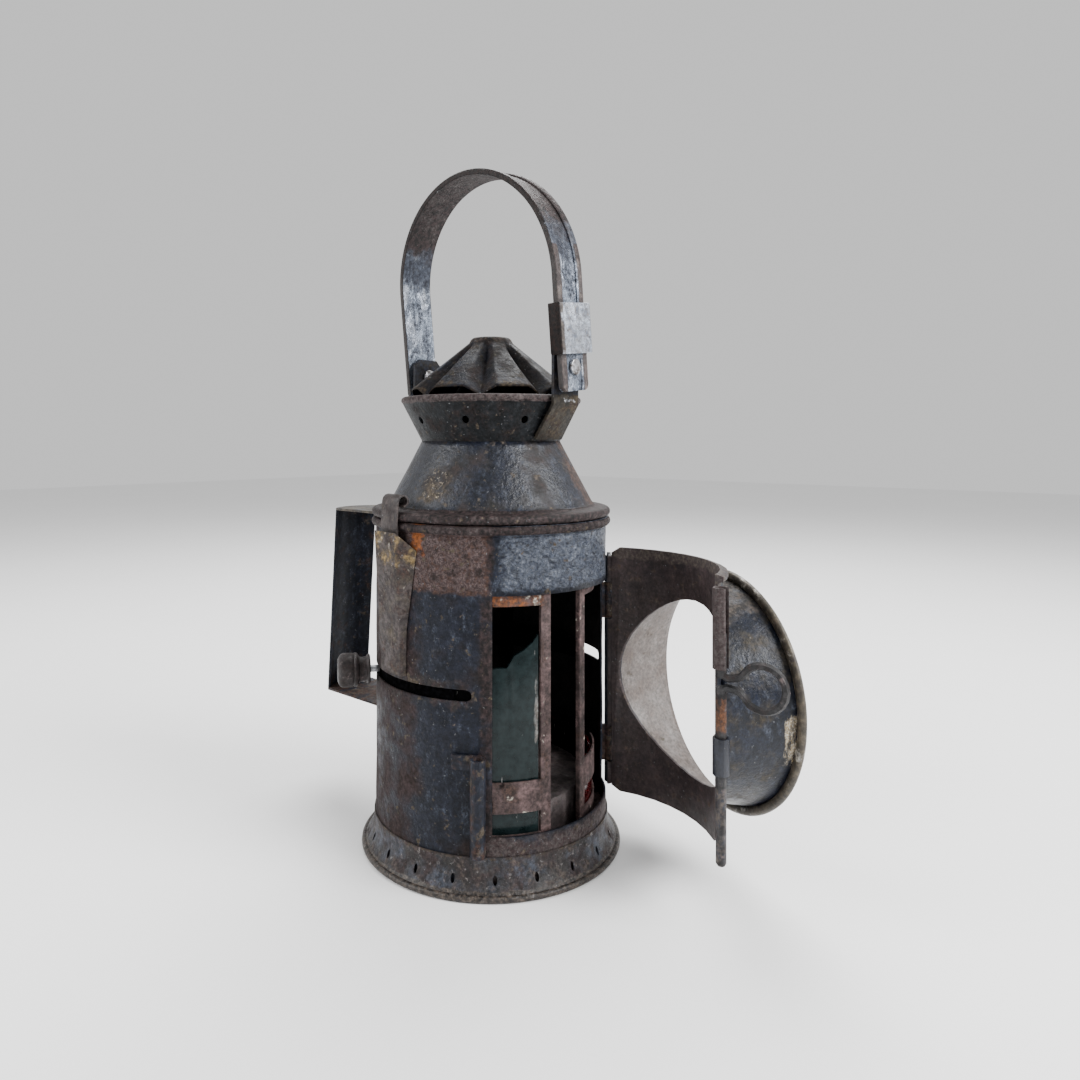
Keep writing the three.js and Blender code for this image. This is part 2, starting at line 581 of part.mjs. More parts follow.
function buildDoor() {
  const hinge = spot(hingeR, hingeBearing);
  const rod = spot(rodAxisR, rodBearing);
  const edge = rodBearing + DOOR_LATCH_EDGE;
  const hingeEdge = hingeBearing - DOOR_HINGE_EDGE;
  const skin = revolve([
    [doorInside, doorBottom], [doorOutside, doorBottom],
    ...rolledRim(doorOutside, DOOR_HEM, hemStart, doorTop), [doorInside, doorTop]]);
  const panel = common(skin, sector(0, 2 * BARREL_R, edge, hingeEdge, 0, BARREL_TOP));

  const knuckleSpans = [
    [knuckleLow, LUG_LOW - GAP], [LUG_LOW + LUG_HEIGHT + GAP, LUG_HIGH - GAP],
    [LUG_HIGH + LUG_HEIGHT + GAP, knuckleHigh]];
  const knuckles = knuckleSpans.flatMap(([z0, z1]) => [
    bar(knuckleR, z0, z1).translate(hinge.x, hinge.y, 0),
    sector(doorInside, hingeR - HINGE_PIN_R, hingeEdge - 1, hingeBearing, z0, z1)]);
  const lugRoom = [LUG_LOW, LUG_HIGH].map((z) =>
    bar(knuckleR + 2 * SHEET, z - GAP, z + LUG_HEIGHT + GAP).translate(hinge.x, hinge.y, 0));
  const pinBore = bar(knuckleBore, 0, BARREL_TOP).translate(hinge.x, hinge.y, 0);

  const guideSpans = [
    [GUIDE_LOW, GUIDE_LOW + GUIDE_LOW_HEIGHT], [GUIDE_HIGH, GUIDE_HIGH + GUIDE_HIGH_HEIGHT]];
  const guides = guideSpans.flatMap(([z0, z1]) => [
    bar(guideR, z0, z1).translate(rod.x, rod.y, 0),
    sector(doorInside, doorOutside, rodBearing, edge + 1, z0, z1)]);
  const rodBore = bar(guideBore, 0, BARREL_TOP).translate(rod.x, rod.y, 0);
  // The finger ring's neck rises through a seam in the upper guide
  const seamHalf = THREE.MathUtils.radToDeg((FINGER_WIRE + GAP) / rodAxisR);
  const seam = sector(rodAxisR, 2 * BARREL_R, rodBearing - seamHalf, rodBearing + seamHalf,
    GUIDE_HIGH - GAP, BARREL_TOP);

  const lensHoleR = lensR - LENS_LIP;
  const lensHole = turn([[0, -2 * BARREL_R], [lensHoleR, -2 * BARREL_R], [lensHoleR, 0], [0, 0]], ROUND)
    .translate(0, 0, LENS_Z);
  const cornerX = spot(doorInside, edge).x;
  const corner = seenAlong(outline([
    [cornerX + DOOR_CORNER_RUN, 0], [cornerX + DOOR_CORNER_RUN, doorBottom],
    [cornerX, doorBottom + DOOR_CORNER_RISE], [-2 * BARREL_R, doorBottom + DOOR_CORNER_RISE],
    [-2 * BARREL_R, 0]]), 0);
  const hingeX = spot(doorOutside, hingeEdge).x;
  const chamfers = [[doorTop, -1], [doorBottom, 1]].map(([z, way]) => seenAlong(outline([
    [hingeX - DOOR_CHAMFER, z], [hingeX, z + way * DOOR_CHAMFER], [2 * hingeX, z + way * DOOR_CHAMFER],
    [2 * hingeX, z - way * DOOR_CHAMFER], [hingeX - DOOR_CHAMFER, z - way * DOOR_CHAMFER]]), 0));
  const whole = join(cut(panel, lensHole, corner, ...chamfers, ...lugRoom), ...knuckles, ...guides);
  piece(doorGroup, "door_panel", rust, cut(whole, pinBore, rodBore, seam));
}

function buildHood() {
  const rimY = -(doorOutside + HOOD_REACH);
  const baseY = -Math.sqrt(doorOutside ** 2 - lensR ** 2);
  const flare = (hoodRimR - lensR) / (baseY - rimY);
  const backY = baseY + HOOD_LAP;
  const backR = lensR - flare * HOOD_LAP;
  const cone = turn([[backR, backY], [backR + SHEET, backY], [hoodRimR + SHEET, rimY], [hoodRimR, rimY]])
    .translate(0, 0, LENS_Z);
  const doorRoom = bar(doorOutside + GAP, 0, 2 * BARREL_TOP, ROUND);
  piece(doorGroup, "lens_hood", paint, cut(cone, doorRoom));

  const wire = [];
  const wireR = hoodRimR + SHEET + GAP + HOOD_WIRE;
  for (let k = 0; k < 5; k++) {
    const turned = rad(18 + 72 * k);
    wire.push([wireR + HOOD_WIRE * Math.cos(turned), rimY + HOOD_WIRE * (0.9 + Math.sin(turned))]);
  }
  piece(doorGroup, "hood_rim_wire", brownMetal, turn(wire).translate(0, 0, LENS_Z));
}

function buildLatchRod() {
  const axis = spot(rodAxisR, rodBearing);
  const out = spot(1, rodBearing);
  const at = (reach, z) => new THREE.Vector3(axis.x + out.x * reach, axis.y + out.y * reach, z);
  const neck = FINGER_WIRE + GAP; // half the gap between the two wires of the neck
  const opening = Math.asin((neck + FINGER_WIRE) / FINGER_RING_R);
  const points = [at(0, FINGER_RING_Z + neck + 1), at(FINGER_NECK_REACH, FINGER_RING_Z + neck)];
  for (let k = 0; k <= 12; k++) {
    const turned = Math.PI - opening - (2 * Math.PI - 2 * opening) * k / 12;
    points.push(at(FINGER_RING_REACH + FINGER_RING_R * Math.cos(turned),
      FINGER_RING_Z + FINGER_RING_R * Math.sin(turned)));
  }
  points.push(at(FINGER_NECK_REACH, FINGER_RING_Z - neck), at(0, FINGER_RING_Z - neck - 1));
  const wire = new THREE.Shape();
  wire.absarc(0, 0, FINGER_WIRE, 0, 2 * Math.PI, false);
  const loop = new THREE.ExtrudeGeometry(wire, {
    steps: RING_STEPS, curveSegments: 3, extrudePath: new THREE.CatmullRomCurve3(points) });
  const lower = revolve([[0, ROD_BOTTOM], [ROD_R * 0.7, ROD_BOTTOM], [ROD_R, ROD_BOTTOM + 1],
    [ROD_R, FINGER_RING_Z - neck], [0, FINGER_RING_Z - neck]], 12).translate(axis.x, axis.y, 0);
  const upper = bar(ROD_R, FINGER_RING_Z + neck, ROD_TOP, 12).translate(axis.x, axis.y, 0);
  piece(doorGroup, "latch_rod", rust, join(loop, lower, upper));
}

// What has broken away above a jagged line of [distance across, height], seen along a bearing,
// and above a level over the rest of the pane between two bearings
function breakage(line, bearing, level, from, to) {
  const top = 2 * BARREL_TOP;
  const torn = outline([...line, [line.at(-1)[0], top], [line[0][0], top]]);
  return [seenAlong(torn, bearing), sector(0, 2 * BARREL_R, from, to, level, top)];
}

// One colour shade, from its leading bar round to the bar that carries its knob
function buildShade(colour, glass, outside, edge, span, shutterBack, broken) {
  const back = edge + span;
  const way = Math.sign(span);
  const [from, to] = [Math.min(edge, back), Math.max(edge, back)];
  const inside = outside - FRAME_SHEET;
  const half = THREE.MathUtils.radToDeg(BAR_WIDTH / 2 / outside);
  const strip = (z0, z1) => sector(inside, outside, from, to, z0, z1);
  const shutterEnds = [back - way * SHUTTER_FRONT, back + way * shutterBack];
  const shutterHalf = SLOT_HEIGHT / 2 + SHUTTER_LAP;
  const shutter = sector(inside, outside, Math.min(...shutterEnds), Math.max(...shutterEnds),
    SLOT_Z - shutterHalf, SLOT_Z + shutterHalf);
  const shadeBar = (bearing) =>
    sector(outside - BAR_DEPTH, outside, bearing - half, bearing + half, SHADE_BOTTOM, SHADE_TOP);
  piece(lantern, `${colour}_shade_frame`, rust, join(
    shadeBar(edge), shadeBar(back), strip(SHADE_TOP - FRAME_RAIL_TOP, SHADE_TOP),
    strip(SHADE_BOTTOM, SHADE_BOTTOM + FRAME_RAIL_BOTTOM),
    strip(FRAME_BAND_Z, FRAME_BAND_Z + FRAME_BAND), shutter));

  const paneOut = inside - GAP;
  const paneEdge = half + PANE_EDGE;
  const pane = sector(paneOut - PANE, paneOut, from + paneEdge, to - paneEdge,
    SHADE_BOTTOM + PANE_INSET, SHADE_TOP - PANE_INSET);
  piece(lantern, `${colour}_glass`, glass, cut(pane, ...broken));

  const knobStart = rimR + SHEET;
  piece(lantern, `${colour}_knob_stem`, wornSteel,
    radialBar(STEM_R, outside + PIN_PLAY, knobStart, back, SLOT_Z));
  const end = knobStart + KNOB_LENGTH;
  const bodyStart = knobStart + KNOB_NECK;
  const flangeR = KNOB_NECK_R + KNOB_FLANGE;
  const knob = turn([
    [0, knobStart], [flangeR, knobStart], [flangeR, knobStart + KNOB_FLANGE],
    [KNOB_NECK_R, knobStart + 1.5 * KNOB_FLANGE], [KNOB_NECK_R, bodyStart - 1], [KNOB_R, bodyStart],
    [KNOB_R, end - KNOB_EDGE], [KNOB_R - KNOB_EDGE, end], [0, end]], 16);
  piece(lantern, `${colour}_knob`, rust, knob.rotateZ(rad(back + 180)).translate(0, 0, SLOT_Z));
}

function buildShades() {
  const greenOutside = barrelInside - SHADE_PLAY;
  const shadeDepth = FRAME_SHEET + GAP + PANE;
  const redOutside = greenOutside - shadeDepth - SHADE_PLAY;
  const greenLine = [[-16, GREEN_BREAK], [-9, GREEN_BREAK + 1], [-5, GREEN_BREAK + 1], [-2, GREEN_BREAK + 6],
    [2, GREEN_BREAK + 8], [6, GREEN_BREAK + 11], [9, GREEN_BREAK + 15], [24, GREEN_BREAK + 16]];
  buildShade("green", greenGlass, greenOutside, GREEN_EDGE, -GREEN_SPAN, GREEN_SHUTTER_BACK,
    breakage(greenLine, GREEN_EDGE - BREAK_SEEN, GREEN_BREAK, GREEN_EDGE - GREEN_SPAN,
      GREEN_EDGE - GREEN_BREAK_END));
  const redLine = [[-24, RED_BREAK - 4], [-8, RED_BREAK - 3], [-3, RED_BREAK], [4, RED_BREAK - 5],
    [14, RED_BREAK - 1]];
  buildShade("red", redGlass, redOutside, RED_EDGE, RED_SPAN, RED_SHUTTER_BACK,
    breakage(redLine, RED_EDGE + BREAK_SEEN, RED_BREAK - 1, RED_EDGE + RED_BREAK_END, RED_EDGE + RED_SPAN));
  const track = (z) => ring(trackInside, trackOutside, z, z + SHEET, INNER_ROUND);
  piece(lantern, "shade_track_lower", rust, track(SHADE_BOTTOM - GAP - SHEET));
  piece(lantern, "shade_track_upper", rust, track(SHADE_TOP + GAP));
}

function buildFont() {
  const floor = SHEET;
  const dome = FONT_SHOULDER + FONT_DOME;
  piece(lantern, "oil_font", greyTin, revolve([
    [0, floor], [fontR, floor], [fontR, FONT_SHOULDER], [NECK_R, dome], [NECK_R, NECK_TOP],
    [NECK_R - FONT_WALL, NECK_TOP], [NECK_R - FONT_WALL, dome - FONT_WALL],
    [fontR - FONT_WALL, FONT_SHOULDER - FONT_WALL], [fontR - FONT_WALL, floor + FONT_WALL],
    [0, floor + FONT_WALL]], INNER_ROUND));

  const bore = NECK_R + GAP;
  const skirt = bore + BURNER_WALL;
  const roof = BURNER_TOP - BURNER_ROOF;
  const [across, down] = BURNER_EDGE;
  const [holeX, holeY] = [WICK_TUBE_WIDTH / 2 + GAP, WICK_TUBE_DEPTH / 2 + GAP];
  const wickHole = rectangle(-holeX, holeX, -holeY, holeY);
  const cap = revolve([
    [bore, dome + BURNER_LIFT], [skirt, dome + BURNER_LIFT], [skirt, BURNER_TOP - down],
    [skirt - across, BURNER_TOP], [0, BURNER_TOP], [0, roof], [skirt - across - 1, roof],
    [bore, BURNER_TOP - 3 * BURNER_ROOF]], 24);
  piece(lantern, "burner_cap", brass, cut(cap, prism(wickHole, 0, BARREL_TOP)));

  const hollowRectangle = (width, depth, wall) => {
    const shape = rectangle(-width / 2, width / 2, -depth / 2, depth / 2);
    shape.holes.push(rectangle(-width / 2 + wall, width / 2 - wall, -depth / 2 + wall, depth / 2 - wall));
    return shape;
  };
  const tube = hollowRectangle(WICK_TUBE_WIDTH, WICK_TUBE_DEPTH, WICK_TUBE_WALL);
  piece(lantern, "wick_tube", brass, prism(tube, NECK_TOP + 1, WICK_TUBE_TOP));
  const slack = WICK_TUBE_WALL + GAP;
  const [wickX, wickY] = [WICK_TUBE_WIDTH / 2 - slack, WICK_TUBE_DEPTH / 2 - slack];
  const wick = rectangle(-wickX, wickX, -wickY, wickY);
  piece(lantern, "wick", cotton, prism(wick, FONT_SHOULDER - WICK_DIP, WICK_TOP));
}

// Outer slope of the vent collar at a height
function collarSlope(z) {
  return WAIST_R + (COLLAR_R - COLLAR_ROLL - WAIST_R) * (z - WAIST_Z) / (deckTop - WAIST_Z);
}

// Outer face of the collar, from the waist round its rolled rim, moved out by a clearance
function collarOutside(clear) {
  const points = [[WAIST_R + clear, WAIST_Z]];
  const roll = COLLAR_ROLL + clear;
  for (let k = 0; k <= 3; k++) {
    const turned = rad(-60 + 75 * k);
    points.push([COLLAR_R - COLLAR_ROLL + roll * Math.cos(turned), deckTop + roll * Math.sin(turned)]);
  }
  return points;
}

function buildLid() {
  const rimTop = lidBottom + 2 * RIM_ROLL;
  const ledgeZ = rimTop + 0.5;
  piece(lantern, "lid_cone", paint, revolve([
    [barrelInside - SHEET, lidBottom], ...rolledRim(BARREL_R, RIM_ROLL, lidBottom, rimTop),
    [ledgeR, ledgeZ], [WAIST_R, WAIST_Z], [WAIST_R - SHEET, WAIST_Z],
    [ledgeR - SHEET, ledgeZ - SHEET], [barrelInside - SHEET, lidBottom + SHEET]]));

  const collarInside = (z) => collarSlope(z) - SHEET;
  const collar = revolve([[WAIST_R - SHEET, WAIST_Z], ...collarOutside(0), [collarInside(deckTop), deckTop]]);
  const holes = [];
  for (let k = 0; k < COLLAR_HOLES; k++) {
    const bearing = COLLAR_HOLE_FIRST + 360 * k / COLLAR_HOLES;
    holes.push(radialBar(COLLAR_HOLE_R, FLUE_R, COLLAR_R, bearing, COLLAR_HOLE_Z, 6));
  }
  piece(lantern, "vent_collar", paint, cut(collar, ...holes));
  const deckR = collarInside(deckTop - SHEET) - GAP;
  piece(lantern, "vent_deck", darkPaint, ring(FLUE_R, deckR, deckTop - SHEET, deckTop, INNER_ROUND));
  piece(lantern, "vent_cap", darkPaint, ventCap());
}

// Pleated cap: broad lobes lifted clear of the deck between narrow feet that stand on it
function ventCap() {
  const perLobe = 8;
  const around = CAP_LOBES * perLobe;
  const rows = [-0.06, 0, CAP_PLEAT_FULL, 1];
  const foot = deckTop + GAP + SHEET;
  const brow = CAP_TOP - CAP_CROWN_DROP;
  const ridge = (u) => (u < 0 ? CAP_TOP : brow - (brow - foot - CAP_LOBE_LIFT) * u);
  const surface = (u, k, drop) => {
    const turned = CAP_LOBE_FIRST + 360 * k / around;
    const offRidge = Math.abs((k + perLobe / 2) % perLobe - perLobe / 2) / (perLobe / 2);
    const pleat = Math.max(0, (offRidge - CAP_FLAT) / (1 - CAP_FLAT));
    const fall = Math.min(1, Math.max(0, u / CAP_PLEAT_FULL));
    const r = CAP_TOP_R + (CAP_R - CAP_TOP_R) * u;
    return spot(r - CAP_PINCH * pleat * fall, turned, ridge(u) - CAP_LOBE_LIFT * pleat * fall - drop);
  };
  const points = [];
  const faces = [];
  const add = (p) => points.push(p) - 1;
  const sheet = (drop) => {
    const top = add(new THREE.Vector3(0, 0, CAP_TOP - drop));
    const grid = rows.map((u) => Array.from({ length: around }, (_, k) => add(surface(u, k, drop))));
    return { top, grid };
  };
  const band = (a, b) => {
    for (let k = 0; k < around; k++) {
      const n = (k + 1) % around;
      faces.push(a[k], b[k], b[n], a[k], b[n], a[n]);
    }
  };
  const fan = (top, a, outwards) => {
    for (let k = 0; k < around; k++) {
      const n = (k + 1) % around;
      faces.push(...(outwards ? [top, a[k], a[n]] : [top, a[n], a[k]]));
    }
  };
  const outer = sheet(0);
  const inner = sheet(SHEET);
  fan(outer.top, outer.grid[0], true);
  fan(inner.top, inner.grid[0], false);
  for (let j = 1; j < rows.length; j++) {
    band(outer.grid[j - 1], outer.grid[j]);
    band(inner.grid[j], inner.grid[j - 1]);
  }
  band(outer.grid.at(-1), inner.grid.at(-1));
  const geometry = new THREE.BufferGeometry().setFromPoints(points);
  geometry.setIndex(faces);
  return geometry;
}

function buildLidHinge() {
  const bearing = CATCH_BEARING + 180;
  const half = LID_HINGE_WIDTH / 2;
  const middle = LID_HINGE_WIDTH / 6;
  const eye = circle(lidHingeR, lidHingeZ, lidKnuckleR);
  const bore = radialPlate(circle(lidHingeR, lidHingeZ, LID_PIN_R + PIN_PLAY), 4 * half, bearing, 4);
  const seat = BARREL_R + GAP + SHEET / 2;
  const step = rimR + GAP + SHEET / 2;
  const rimStart = BARREL_TOP - 2 * RIM_ROLL;
  const barrelLeaf = ribbon([
    [seat, rimStart - LID_LEAF], [seat, rimStart - LID_LEAF_BEND], [step, rimStart - SHEET / 2],
    [step, lidHingeZ - SHEET]], SHEET);
  const lugs = [[-half, -middle - GAP], [middle + GAP, half]].map(([a, b]) =>
    shiftedPlate(eye, a, b, bearing));
  const notch = radialPlate(
    rectangle(BARREL_R, 2 * BARREL_R, rimStart - SHEET / 2, 2 * BARREL_TOP), 2 * (middle + GAP), bearing);
  piece(lantern, "lid_hinge_lug", paint,
    cut(join(radialPlate(barrelLeaf, LID_HINGE_WIDTH, bearing), ...lugs), notch, bore));

  const leafZ = lidBottom + 2 * RIM_ROLL + 2 * GAP + SHEET / 2;
  const lidLeaf = ribbon([
    [ledgeR + 2 * SHEET, leafZ + GAP], [BARREL_R + SHEET / 2, leafZ], [rimR, leafZ - GAP / 2],
    [lidHingeR, lidHingeZ + LID_PIN_R + SHEET / 2]], SHEET);
  piece(lantern, "lid_hinge_leaf", paint,
    cut(join(radialPlate(lidLeaf, 2 * middle, bearing), radialPlate(eye, 2 * middle, bearing)), bore));
  piece(lantern, "lid_hinge_pin", wornSteel,
    radialPlate(circle(lidHingeR, lidHingeZ, LID_PIN_R), LID_HINGE_WIDTH + 1, bearing, 3));
}

// A turned profile of [radius, distance from the middle], on the pivot line at the front or back
function onPivot(profile, side) {
  const turned = turn(profile, SMALL_ROUND).rotateX(side === "front" ? Math.PI : 0);
  return turned.translate(0, 0, PIVOT_Z);
}

function buildEars() {
  const middle = (earInside + earOutside) / 2;
  const bendZ = deckTop - COLLAR_ROLL - 1;
  const footZ = WAIST_Z + EAR_FOOT_RISE;
  const foot = collarSlope(footZ) + EAR_SHEET / 2;
  const strip = ribbon([[foot, footZ], [middle, bendZ], [middle, PIVOT_Z + EAR_RISE]], EAR_SHEET);
  const half = EAR_WIDTH / 2;
  const top = PIVOT_Z + EAR_RISE;
  const face = outline([
    [-EAR_FOOT_WIDTH / 2, WAIST_Z], [EAR_FOOT_WIDTH / 2, WAIST_Z], [half, bendZ], [half, top - EAR_CORNER],
    [half - EAR_CORNER, top], [EAR_CORNER - half, top], [-half, top - EAR_CORNER], [-half, bendZ]]);
  const collarRoom = revolve([[0, WAIST_Z], ...collarOutside(GAP), [0, deckTop]]);
  const hole = RIVET_R + GAP;
  for (const [side, bearing] of [["front", 0], ["rear", 180]]) {
    const rivetHole = onPivot([[0, 0], [hole, 0], [hole, 2 * BARREL_R], [0, 2 * BARREL_R]], side);
    const ear = common(radialPlate(strip, EAR_FOOT_WIDTH, bearing), seenAlong(face, bearing));
    piece(lantern, `bail_ear_${side}`, wornSteel, cut(ear, collarRoom, rivetHole));
    const innerHead = earInside - GAP;
    const outerHead = strapOutside + GAP;
    piece(lantern, `bail_rivet_${side}`, wornSteel, onPivot([
      [0, innerHead - RIVET_HEAD], [RIVET_HEAD_R, innerHead - RIVET_HEAD], [RIVET_HEAD_R, innerHead],
      [RIVET_R, innerHead], [RIVET_R, outerHead], [RIVET_HEAD_R, outerHead],
      [RIVET_HEAD_R, outerHead + RIVET_HEAD], [0, outerHead + RIVET_HEAD]], side));
    const washerIn = earOutside + GAP;
    piece(lantern, `bail_washer_${side}`, wornSteel, onPivot([
      [hole, washerIn], [WASHER_R, washerIn], [WASHER_R, washerIn + WASHER], [hole, washerIn + WASHER]], side));
  }
}

// Arch of the bail at a half span, seen along X, as points from one foot to the other
function archPoints(halfSpan, steps = 16) {
  const rise = BAIL_TOP - BAIL_SPRING_Z - (hemOutside - halfSpan);
  const points = [[halfSpan, PIVOT_Z - STRAP_TAIL]];
  for (let k = 0; k <= steps; k++) {
    const turned = Math.PI * k / steps;
    points.push([halfSpan * Math.cos(turned), BAIL_SPRING_Z + rise * Math.sin(turned)]);
  }
  points.push([-halfSpan, PIVOT_Z - STRAP_TAIL]);
  return points;
}

function buildBail() {
  const lengthwise = new THREE.Matrix4().makeBasis(
    new THREE.Vector3(0, 1, 0), new THREE.Vector3(0, 0, 1), new THREE.Vector3(1, 0, 0));
  const arch = (inner, outer, x0, x1) =>
    prism(outline([...archPoints(outer), ...archPoints(inner).reverse()]), x0, x1).applyMatrix4(lengthwise);
  const half = STRAP_WIDTH / 2;
  const overlap = STRAP_SHEET / 2;
  const hem = (x0, x1) => arch(strapOutside - overlap, hemOutside, x0, x1);
  const hole = RIVET_R + GAP;
  const rivetHole = turn([
    [0, -2 * BARREL_R], [hole, -2 * BARREL_R], [hole, 2 * BARREL_R], [0, 2 * BARREL_R]], SMALL_ROUND)
    .translate(0, 0, PIVOT_Z);
  piece(bailGroup, "bail_strap", wornSteel, cut(
    join(arch(strapInside, strapOutside, -half, half), hem(-half, STRAP_HEM_WIDTH - half),
      hem(half - STRAP_HEM_WIDTH, half)), rivetHole));

  const round = (room) => rectangle(-half - room, half + room, -hemOutside - room, -strapInside + room);
  const sleeve = round(SLEEVE_PLAY + SLEEVE_WALL);
  sleeve.holes.push(round(SLEEVE_PLAY));
  const z0 = PIVOT_Z + SLEEVE_RISE;
  piece(bailGroup, "bail_sleeve", wornSteel, prism(sleeve, z0, z0 + SLEEVE_HEIGHT));
}

buildBarrel();
buildBase();
buildKeeper();
buildRearHandle();
buildCatch();
buildDoorHinge();
buildDoor();
buildHood();
buildLatchRod();
buildShades();
buildFont();
buildLid();
buildLidHinge();
buildEars();
buildBail();

export default lantern;
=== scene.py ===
"""Looks of a railway hand-signal lantern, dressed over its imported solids."""
import json
import math
import bpy
from mathutils import Matrix, Vector, noise


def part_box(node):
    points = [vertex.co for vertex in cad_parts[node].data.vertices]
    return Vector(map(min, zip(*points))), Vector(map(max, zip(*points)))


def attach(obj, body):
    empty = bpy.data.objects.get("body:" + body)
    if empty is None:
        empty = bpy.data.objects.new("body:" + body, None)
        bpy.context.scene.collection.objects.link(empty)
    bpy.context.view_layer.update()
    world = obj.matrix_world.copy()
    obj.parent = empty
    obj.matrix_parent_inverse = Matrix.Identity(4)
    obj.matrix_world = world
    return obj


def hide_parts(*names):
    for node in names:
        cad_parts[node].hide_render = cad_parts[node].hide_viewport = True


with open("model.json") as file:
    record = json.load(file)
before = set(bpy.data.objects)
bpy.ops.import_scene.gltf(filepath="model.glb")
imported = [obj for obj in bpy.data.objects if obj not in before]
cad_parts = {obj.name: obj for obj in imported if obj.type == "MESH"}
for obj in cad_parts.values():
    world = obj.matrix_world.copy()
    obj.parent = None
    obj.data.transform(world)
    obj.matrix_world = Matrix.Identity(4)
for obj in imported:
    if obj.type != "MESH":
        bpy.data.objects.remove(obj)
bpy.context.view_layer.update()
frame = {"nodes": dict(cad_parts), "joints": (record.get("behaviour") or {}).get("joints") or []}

MM = 0.001  # sizes below are in millimetres, bearings in degrees from -Y towards +X


def extent(node):
    """Lowest and highest corner of a solid, in millimetres."""
    low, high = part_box(node)
    return low / MM, high / MM


def joint(name):
    return next(j for j in frame["joints"] if j["name"] == name)


def polar(radius, bearing, z):
    """Point at a distance from the barrel's axis, on a bearing."""
    turned = math.radians(bearing)
    return Vector((radius * math.sin(turned), -radius * math.cos(turned), z))


# Sizes that the solids give
barrel_low, barrel_high = extent("barrel")
skirt_high = extent("base_skirt")[1]
cone_low, cone_high = extent("lid_cone")
collar_low, collar_high = extent("vent_collar")
cap_low, cap_high = extent("vent_cap")
strap_high = extent("bail_strap")[1]
knob_low, knob_high = extent("green_knob")

SHEET = 1.0
GAP = 0.3
ROLL = 2.0  # rolled rims of barrel and lid
FOOT_ROLL = 1.4
LID_LIP = 1.6  # the lid reaches this far into the barrel, so no light shows between the rims
SKIRT_CURL = 2.6  # power of the curve by which the skirt swings out
SKIRT_EDGE = 0.35  # its worn upper edge
COLLAR_ROLL = 1.6
COLLAR_SHEET = 0.9
BARREL_R = barrel_high.x - ROLL
SLOT_Z = (knob_low.z + knob_high.z) / 2
SLOT_HALF = 2.5
DOORWAY_Z = (23.7, 122.2)
GREEN_SLOT_START = 9.0  # bearing past the doorway's edge
RED_SLOT_START = 3.0
SLOT_BACK_GAP = 13.0
ROD_STAND_OFF = 4.2  # latch rod, from the barrel's wall
ROD_BEARING = 5.8  # latch rod, past the doorway's edge

door_pivot = Vector(joint("door_hinge")["pos_m"]) / MM
door_opened = math.radians(-joint("door_hinge")["range_deg"][0])
hinge_bearing = math.degrees(math.atan2(door_pivot.x, -door_pivot.y))
doorway_half = hinge_bearing - 3.5
OPEN = (Matrix.Translation(door_pivot) @ Matrix.Rotation(door_opened, 4, "Z")
        @ Matrix.Translation(-door_pivot))
DOOR_AXIS = OPEN @ Vector((0, 0, 0))  # middle of the door's curve as it stands open
DOOR_SKIN_R = BARREL_R + 2.0
ROD_FOOT = OPEN @ polar(BARREL_R + ROD_STAND_OFF, -doorway_half - ROD_BEARING, 0)

bail_pivot = Vector(joint("bail_swing")["pos_m"]) / MM
bail_axis = Vector(joint("sleeve_slide")["axis"])
bail_lean = math.atan2(-bail_axis.x, bail_axis.z)
LEAN = (Matrix.Translation(bail_pivot) @ Matrix.Rotation(-bail_lean, 4, "Y")
        @ Matrix.Translation(-bail_pivot))

LENS_R = 41.0
LENS_Z = 75.5
HOOD_RIM_R = 48.5
HOOD_REACH = 14.5
HOOD_WIRE = 1.6

LEDGE_R = 48.4
LEDGE_DROP = 4.5  # ledge above the underside of the lid
WAIST_R = 32.6
COLLAR_HOLES = 9
COLLAR_HOLE_R = 1.6
COLLAR_HOLE_Z = 195.0
COLLAR_HOLE_FIRST = 14.4
BASE_VENTS = 20
BASE_VENT_R = 0.9
BASE_VENT_Z = 7.3
BASE_VENT_FIRST = 0.4  # share of a step

CAP_LOBES = 8
CAP_LOBE_FIRST = 11.5
CAP_LOBE_LIFT = 4.2
CAP_FLAT = 0.5
CAP_PLEAT_FULL = 0.42
CAP_TOP_R = 10.4
CAP_CROWN_DROP = 2.7
CAP_BROW = 1.7  # width of the crown's rounded edge
CAP_DISH = 0.3  # hollow of its flat
CAP_SHEET = 0.8
CAP_PINCH = 1.5
CAP_R = 38.0

STRAP_HALF = 9.75
STRAP_SHEET = 1.6
STRAP_HEM = 1.0
STRAP_HEM_WIDTH = 4.5
BAIL_SPRING_Z = 258.0
BAIL_TOP = 310.7
STRAP_TAIL = 10.5
EAR_BEND_Z = 201.8

# Radius of the turned knob, and how far out along its stem
KNOB_PROFILE = [
    (0.05, 0), (6.3, 0), (6.6, 0.3), (6.6, 1.0), (6.2, 1.4), (5.6, 1.8), (5.5, 3.4), (5.7, 4.9),
    (6.7, 5.3), (7.4, 5.9), (7.6, 6.6), (7.5, 7.2), (7.25, 7.5), (7.5, 7.8), (7.6, 8.6), (7.6, 12.3),
    (7.1, 13.3), (6.2, 14.0), (5.0, 14.5), (0.05, 14.4)]
KNOB_STEPS = 48

ROUND_STEPS = 192  # points round a turned piece
HOLE_STEPS = 20  # points round a small hole
EASE_ANGLE = 34.0  # folds sharper than this get an eased edge
SHARP_ANGLE = 36.0  # folds sharper than this stay sharp in the shading


# Mesh helpers
def spread(stops, step):
    """Values from the first stop to the last, through every stop, at most a step apart."""
    values = [stops[0]]
    for low, high in zip(stops, stops[1:]):
        count = max(1, math.ceil((high - low) / step - 1e-6))
        values += [low + (high - low) * (k + 1) / count for k in range(count)]
    return values


def lumps(point, size, seed=0.0):
    """Smooth deterministic noise, about -1 to 1, with features of a given size."""
    x, y, z = point
    return noise.noise(Vector((x / size + seed, y / size - seed, z / size + 0.5 * seed)))


